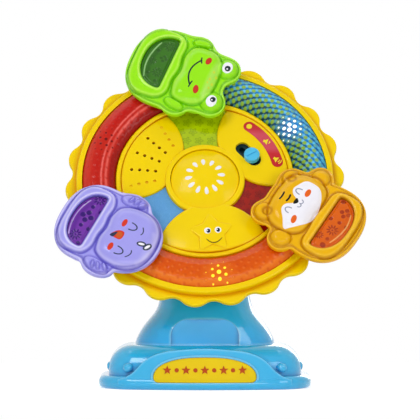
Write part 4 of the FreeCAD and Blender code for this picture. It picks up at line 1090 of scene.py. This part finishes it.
def bandTree():
    tree, start = newTree("studdedBand", Int=["Steps Along", "Steps Across"], Float=[
        "End Angle", "Sweep", "Inner", "Outer", "Middle", "Pitch Along", "Pitch Across", "Start Along",
        "Start Across", "Shine Along", "Shine Across", "Cell", "Rise", "Lean"],
        Vector=["Hub", "Facing"], Object=["Target"], Material=["Finish"])
    given = start.given
    grid = start.node("GeometryNodeMeshGrid", {}, {
        "Size X": 1.0, "Size Y": 1.0, "Vertices X": given("Steps Along") + 1.0,
        "Vertices Y": given("Steps Across") + 1.0})
    point = start.node("GeometryNodeInputPosition")
    u, v = point.part("X") + 0.5, point.part("Y") + 0.5
    radius = given("Inner") + (given("Outer") - given("Inner")) * v
    angle = given("End Angle") - given("Sweep") * u
    along = (u - 0.5) * given("Sweep") * given("Middle") - given("Start Along")
    outward = radius - given("Start Across")

    def nearestCell(moveAlong, moveAcross):
        # cells stand in two crossed lattices, the second half a pitch on
        column = (along - moveAlong) / given("Pitch Along") + 0.5
        row = (outward - moveAcross) / given("Pitch Across") + 0.5
        found = [start.distance((start.math("FRACT", column + half) - 0.5) * given("Pitch Along"),
                                (start.math("FRACT", row + half) - 0.5) * given("Pitch Across"))
                 for half in (0.0, 0.5)]
        return start.math("MINIMUM", *found)

    cell = nearestCell(0.0, 0.0)
    share = cell / given("Cell")
    dome = start.math("MAXIMUM", 1.0 - share * share, 0.0)
    marked = grid
    # shine holds the distance to each cell's painted highlight, set off from the cell
    for label, field in (("cell", cell), ("rise", dome * given("Rise") * mm),
                         ("shine", nearestCell(given("Shine Along"), given("Shine Across")))):
        marked = start.node("GeometryNodeStoreNamedAttribute", {"data_type": "FLOAT"},
                            {"Geometry": marked, "Name": label, "Value": field})
    flat = start.vector(X=radius * start.math("COSINE", angle), Y=radius * start.math("SINE", angle),
                        Z=bandRing["above"])
    bent = start.node("GeometryNodeSetPosition", {}, {"Geometry": marked, "Position": flat})
    turned = start.node("GeometryNodeTransform", {}, {
        "Geometry": bent, "Translation": given("Hub"), "Rotation": start.vector(X=given("Lean")),
        "Scale": (mm, mm, mm)})
    landed = start.node("GeometryNodeRaycast", {}, {
        "Target Geometry": objectShape(start, "Target"), "Source Position": point,
        "Ray Direction": given("Facing").scaled(-1.0), "Ray Length": 0.1}, "Hit Position")
    rise = start.node("GeometryNodeInputNamedAttribute", {"data_type": "FLOAT"}, {"Name": "rise"})
    final = start.node("ShaderNodeVectorMath", {"operation": "ADD"},
                       {0: landed, 1: given("Facing").scaled(rise)})
    laid = start.node("GeometryNodeSetPosition", {}, {"Geometry": turned, "Position": final})
    closeTree(start, laid)
    return tree


def bandPlastic(name, shades):
    material, start = newMaterial(name + "BandPlastic")
    cell, shine = start.attribute("cell"), start.attribute("shine")
    x, y = faceXY(start)
    lamp = polar(shades["lamp"][1], shades["lamp"][0])
    away = start.distance(x - lamp.x, y - lamp.y)
    patches = noise(start, objectPoint(start), 70.0)
    swayed = start.distance(x, y) + (patches - 0.5) * shades["sway"]
    colour, heart, spark = [rampOf(start, swayed, 60.0, 88.0, shades[part])
                            for part in ("wall", "heart", "spark")]
    # painted highlight: a spark of paler colour beside each cell, where the lamps would glint
    colour = (shine.under(*shades["sparkSize"]) * shades["sparkShare"]).tint(colour, spark)
    colour = (cell.under(*shades["heartSize"]) * shades["heartShare"]).tint(colour, heart)
    # painted glow: a paler colour round each band's LED
    colour = (away.under(*shades["haloReach"]) * shades["haloShare"]).tint(colour, paint(shades["halo"]))
    # the LED's light painted on the band: cells near it are lit, with emission where litPower is set; on
    # the red band they are dark dots without glow
    lit = (cell + away * shades["litWane"]).under(*shades["litSize"])
    colour = lit.tint(colour, paint(shades["lit"]))
    look = {"rough": 0.2, "coat": 0.15, "mottle": 0.12, "skin": 0.03, "gloss": 0.08}
    values = mouldedSkin(start, colour, look)
    if shades["litPower"]:
        values["Emission Color"] = lit.tint((0.0, 0.0, 0.0, 1.0), paint(shades["lit"]))
        values["Emission Strength"] = shades["litPower"]
    closeMaterial(start, values)
    return material


# the ramps run over the distance from the hub; lamp is an angle and a radius. The pink lines and lighter
# outer band of the red wall, the lighter outer stripe of the orange wall and the light blue outer hearts
# of the blue are painted reflections of the lamps running along the ring
bandShades = {
    "blue": {
        "wall": [
            (62, "063844"), (70, "08404E"), (73, "0C5A80"), (77, "1C84CC"), (80, "1478BC"),
            (82, "0860A0"), (86, "0C70B0")],
        "heart": [
            (62, "8CB428"), (70, "86B028"), (77, "90B830"), (80, "8CBC60"), (82, "40A8C8"),
            (86, "4CC4F0")],
        "spark": [(62, "3C8898"), (70, "60ACAC"), (75, "74CCEC"), (82, "58C4F4")],
        "sparkSize": (1.25, 0.8), "sparkShare": 0.95, "heartSize": (1.45, 0.6), "heartShare": 0.95,
        "sway": 1.5, "lamp": (32.9, 71.5), "lit": "FFFFFF", "litWane": 0.15, "litSize": (1.8, 0.5),
        "litPower": 1.0, "halo": "2C84E0", "haloReach": (10.0, 8.0), "haloShare": 0.45,
    },
    "red": {
        "wall": [
            (62, "960C04"), (67, "A01006"), (68.2, "C42418"), (69.4, "F0645A"), (70.8, "C42012"),
            (71.6, "CC2C20"), (72.6, "F47068"), (73.6, "C01C0C"), (76, "C01608"), (79, "C61C0E"),
            (81, "D03020"), (84, "D23422"), (86, "B81C0C")],
        "heart": [(62, "980E06"), (74, "B81C10"), (86, "C02A1C")],
        "spark": [(62, "B02018"), (86, "DC4A3C")], "sparkSize": (0.8, 0.8), "sparkShare": 0.35,
        "heartSize": (0.8, 0.8), "heartShare": 0.5, "sway": 1.0, "lamp": (157.5, 75.5), "lit": "6E0808",
        "litWane": 0.09, "litSize": (1.25, 0.5), "litPower": 0.0, "halo": "C82414",
        "haloReach": (9.0, 6.0), "haloShare": 0.5,
    },
    "orange": {
        "wall": [
            (62, "C84000"), (70, "D85000"), (78, "DC5400"), (81, "E46004"), (82.5, "F07C20"),
            (85, "EA6E0C"), (86.5, "D04800")],
        "heart": [(62, "C43C00"), (86, "D64C00")], "spark": [(62, "E87018"), (86, "F48C38")],
        "sparkSize": (0.9, 0.9), "sparkShare": 0.4, "heartSize": (0.9, 0.8), "heartShare": 0.5,
        "sway": 3.0, "lamp": (277.2, 78.0), "lit": "FFE030", "litWane": 0.15, "litSize": (1.7, 0.5),
        "litPower": 0.7, "halo": "F07818", "haloReach": (10.0, 8.0), "haloShare": 0.5,
    },
}


def makeBands():
    tree = bandTree()
    sweep = bandRing["sweep"]
    for name, band in bands.items():
        material = bandPlastic(name, bandShades[name])
        values = {"End Angle": math.radians(band["spoke"] + sweep / 2.0), "Sweep": math.radians(sweep),
                  "Inner": bandRing["inner"], "Outer": bandRing["outer"], "Middle": bandRing["middle"],
                  "Cell": band["cell"], "Rise": band["rise"], "Lean": wheelTurn.to_euler().x,
                  "Hub": hub, "Facing": facing, "Target": frame["nodes"][band["node"]],
                  "Finish": material}
        for label in ("steps", "pitch", "start", "shine"):
            along, across = band[label]
            values[label.title() + " Along"] = along
            values[label.title() + " Across"] = across
        piece = growPiece(name + "_band", tree, values, 60.0)
        solid = piece.modifiers.new("wall", "SOLIDIFY")
        solid.thickness = bandRing["wall"] * mm
        solid.offset = -1.0
        applied(piece, solid)
        seat(piece, "wheel", band["slot"], material, band["node"])
        print("band made:", name)


makeBands()


# Printed and moulded marks on the wheel

starFace = {
    "spoke": 276.0, "radius": 44.5,
    "parts": [("star_eyes", 0.10, "F4F4F8", [(-2.85, 0.8, 2.3, 2.4), (4.5, 1.5, 2.3, 2.4)]),
              ("star_pupils", 0.16, "10243A", [(-2.2, 0.6, 1.3, 1.6), (4.6, 1.4, 1.3, 1.6)]),
              ("star_glints", 0.20, "F8F8FF", [(-2.9, 0.9, 0.45, 0.5), (3.9, 1.7, 0.45, 0.5)])],
    "smile": ((-3.6, -5.6), (1.9, -8.5), (7.4, -4.4), 0.7),
}


def inkFinish(name, code, rough=0.3):
    return mouldedPlastic(name, code, {"rough": rough, "coat": 0.08, "mottle": 0.06, "skin": 0.02,
                                       "gloss": 0.08})


def makeStarFace():
    front = surfaceBelow("wheel_front_shell")
    place = wheelPlace @ Matrix.Translation(polar(starFace["radius"], starFace["spoke"]))
    marks = [(name, lift, code, [ovalLoop(*oval) for oval in ovals])
             for name, lift, code, ovals in starFace["parts"]]
    marks.append(("star_smile", 0.12, "6A5208", [strokeLoop(*starFace["smile"])]))
    for name, lift, code, loops in marks:
        piece = inkPad(name, loops, place, front, lift)
        seat(piece, "wheel", "yellow_plastic", inkFinish(name, code))


makeStarFace()
print("star face printed")

speakerLoop = [(-1.8, -0.7), (-0.8, -0.7), (0.5, -1.8), (0.5, 1.8), (-0.8, 0.7), (-1.8, 0.7)]
soundLoops = [strokeLoop((1.2, -0.8), (1.6, 0.0), (1.2, 0.8), 0.5),
              strokeLoop((2.0, -1.4), (2.6, 0.0), (2.0, 1.4), 0.5)]
labelIcons = {
    # the marks by their place round the wheel, in degrees
    "radius": 52.5, "lift": 0.12, "colour": "F0DC30", "size": 1.35,
    "marks": {53.6: [ovalLoop(0.0, 0.0, 1.5, 1.5)],
              34.4: [speakerLoop, soundLoops[0]],
              17.0: [speakerLoop, *soundLoops]},
}


def makeLabelIcons():
    target = surfaceBelow("switch_label")
    loops = []
    for degrees, shapes in labelIcons["marks"].items():
        centre = polar(labelIcons["radius"], degrees)
        turn = Matrix.Rotation(math.radians(degrees - 52.0), 2)
        for shape in shapes:
            turned = [turn @ Vector(spot) * labelIcons["size"] for spot in shape]
            loops.append([(centre.x + spot.x, centre.y + spot.y) for spot in turned])
    piece = inkPad("label_icons", loops, wheelPlace, target, labelIcons["lift"], 0.15)
    seat(piece, "wheel", "label_red", inkFinish("iconYellow", labelIcons["colour"]))
    print("label icons:", len(loops))


makeLabelIcons()

plateRow = {"count": 9, "pitch": 6.5, "level": 14.0, "star": 3.3, "starInner": 1.45, "dot": 1.5,
            "rise": 0.35, "colour": "BE4A14"}


def padShape(name, loop, rise):
    # a small raised mark with a bevelled top, drawn flat and facing +Z
    size = len(loop)
    points = [(x * share * mm, y * share * mm, level * rise * mm)
              for share, level in ((0.9, 1.0), (1.0, 0.6), (1.0, -1.0)) for x, y in loop]
    faces = [list(range(size)), list(reversed(range(2 * size, 3 * size)))]
    faces += ringWall(0, size, size) + ringWall(size, 2 * size, size)
    return newPiece(name, points, faces)


def plateRowTree():
    tree, start = newTree("plateRow", Int=["Count"], Float=["Pitch", "Level"],
                          Object=["Target", "Star", "Dot"], Material=["Finish"])
    given = start.given
    row = start.node("GeometryNodeMeshLine", {}, {"Count": given("Count"), "Offset": (0.0, 0.0, 0.0)})
    order = start.node("GeometryNodeInputIndex")
    spread = (order - (given("Count") - 1.0) * 0.5) * given("Pitch")
    spaced = start.node("GeometryNodeSetPosition", {}, {
        "Geometry": row, "Position": start.vector(X=spread, Y=-0.2, Z=given("Level"))})
    ray = {"Target Geometry": objectShape(start, "Target"), "Ray Direction": (0.0, 1.0, 0.0),
           "Source Position": start.node("GeometryNodeInputPosition"), "Ray Length": 1.0}
    landed = start.node("GeometryNodeRaycast", {}, ray, "Hit Position")
    normal = start.node("GeometryNodeRaycast", {}, ray, "Hit Normal")
    marked = start.node("GeometryNodeStoreNamedAttribute", {"data_type": "FLOAT_VECTOR"},
                        {"Geometry": spaced, "Name": "outward", "Value": normal})
    laid = start.node("GeometryNodeSetPosition", {}, {"Geometry": marked, "Position": landed})
    outward = start.node("GeometryNodeInputNamedAttribute", {"data_type": "FLOAT_VECTOR"},
                         {"Name": "outward"})
    upright = start.node("FunctionNodeAlignRotationToVector", {"axis": "Z", "pivot_axis": "X"},
                         {"Vector": outward})
    odd = start.math("FLOORED_MODULO", order, 2.0)
    joined = start.node("GeometryNodeJoinGeometry")
    for label, chosen in (("Star", 1.0 - odd), ("Dot", odd)):
        placed = start.node("GeometryNodeInstanceOnPoints", {}, {
            "Points": laid, "Selection": chosen, "Instance": objectShape(start, label),
            "Rotation": upright})
        tree.links.new(placed.socket, joined.socket.node.inputs[0])
    closeTree(start, joined)
    return tree


def makePlateRow():
    reaches = [plateRow["star"], plateRow["starInner"]] * 5
    corners = [polar(reach, 90.0 + 36.0 * k) for k, reach in enumerate(reaches)]
    star = padShape("starShape", [(corner.x, corner.y) for corner in corners], plateRow["rise"])
    dot = padShape("dotShape", ovalLoop(0.0, 0.0, plateRow["dot"], plateRow["dot"], 24), plateRow["rise"])
    finish = inkFinish("plateInk", plateRow["colour"])
    piece = growPiece("plate_row", plateRowTree(), {
        "Count": plateRow["count"], "Pitch": plateRow["pitch"] * mm, "Level": plateRow["level"] * mm,
        "Target": frame["nodes"]["nameplate"], "Star": star, "Dot": dot, "Finish": finish})
    for shape in (star, dot):
        bpy.data.objects.remove(shape)
    seat(piece, "base", "nameplate_yellow", finish)
    print("nameplate row:", len(piece.data.polygons))


makePlateRow()

seeds = {"count": 12, "inner": 8.8, "outer": 14.2, "halfWidth": 1.75, "rise": 0.35, "dome": 50.0,
         "top": 6.5, "turn": 6.0}


def seedShape():
    # a teardrop dome, narrower towards the hub
    rings, steps = 3, 14
    length = (seeds["outer"] - seeds["inner"]) / 2
    angles = [2.0 * math.pi * step / steps for step in range(steps)]
    loop = [(length * math.cos(angle),
             seeds["halfWidth"] * (0.78 + 0.22 * math.cos(angle)) * math.sin(angle)) for angle in angles]
    points = [(0.0, 0.0, seeds["rise"])]
    for ring in range(1, rings + 1):
        share = ring / rings
        points += [(x * share, y * share, seeds["rise"] * (1.0 - share ** 3)) for x, y in loop]
    points += [(x * 0.96, y * 0.96, -0.4) for x, y in loop]
    faces = [(0, 1 + step, 1 + (step + 1) % steps) for step in range(steps)]
    for ring in range(rings):
        faces += ringWall(1 + ring * steps, 1 + (ring + 1) * steps, steps)
    faces.append(tuple(reversed(range(len(points) - steps, len(points)))))
    return newPiece("seedShape", points, faces, sharp=42.0)


def seedTree():
    tree, start = newTree("seedRing", Int=["Count"], Float=["Radius", "Dome", "Top", "Turn"],
                          Object=["Seed"], Material=["Finish"])
    given = start.given
    radius, dome = given("Radius"), given("Dome")
    circle = start.node("GeometryNodeMeshCircle", {}, {"Vertices": given("Count"), "Radius": radius})
    lift = start.math("SQRT", dome * dome - radius * radius) - dome + given("Top")
    raised = start.node("GeometryNodeSetPosition", {}, {
        "Geometry": circle, "Offset": start.vector(Z=lift)})
    around = start.node("GeometryNodeInputIndex") * (2.0 * math.pi) / given("Count")
    placed = start.node("GeometryNodeInstanceOnPoints", {}, {
        "Points": raised, "Instance": objectShape(start, "Seed"),
        "Rotation": start.vector(Y=start.math("ARCSINE", radius / dome), Z=around)})
    spun = start.node("GeometryNodeTransform", {}, {
        "Geometry": placed, "Rotation": start.vector(Z=given("Turn"))})
    closeTree(start, spun)
    return tree


def makeSeeds():
    shape = seedShape()
    finish = inkFinish("seedWhite", "F2F0F4", 0.25)
    piece = growPiece("button_seeds", seedTree(), {
        "Count": seeds["count"], "Radius": (seeds["inner"] + seeds["outer"]) / 2,
        "Dome": seeds["dome"], "Top": seeds["top"], "Turn": math.radians(seeds["turn"]),
        "Seed": shape, "Finish": finish})
    piece.data.transform(wheelPlace)
    bpy.data.objects.remove(shape)
    seat(piece, "button", "yellow_plastic", finish)
    print("seeds made:", len(piece.data.polygons))


makeSeeds()

# The coil under the button, at its full length

coil = {"radius": 5.3, "wire": 0.8, "turns": 8.0, "low": -9.6, "high": 4.0, "travel": 3.0,
        "steps": 28, "around": 10}


def coilTree():
    tree, start = newTree("pressSpring", Int=["Steps", "Around"],
                          Float=["Turns", "Radius", "Height", "Wire"], Material=["Finish"])
    given = start.given
    helix = start.node("GeometryNodeCurveSpiral", {}, {
        "Resolution": given("Steps"), "Rotations": given("Turns"), "Start Radius": given("Radius"),
        "End Radius": given("Radius"), "Height": given("Height")})
    wire = start.node("GeometryNodeCurvePrimitiveCircle", {}, {
        "Resolution": given("Around"), "Radius": given("Wire") * 0.5})
    body = start.node("GeometryNodeCurveToMesh", {}, {
        "Curve": helix, "Profile Curve": wire, "Fill Caps": True})
    closeTree(start, body)
    return tree


def makeCoil():
    height = coil["high"] - coil["low"] - coil["wire"]
    piece = growPiece("press_spring", coilTree(), {
        "Turns": coil["turns"], "Steps": coil["steps"], "Radius": coil["radius"], "Height": height,
        "Wire": coil["wire"], "Around": coil["around"], "Finish": finishes["spring"]})
    foot = Matrix.Translation((0.0, 0.0, coil["low"] + coil["wire"] / 2))
    piece.data.transform(wheelPlace @ foot)
    seat(piece, "wheel", "spring_steel", finishes["spring"], "button_spring")
    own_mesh(piece)
    print("coil made:", len(piece.data.polygons))


makeCoil()
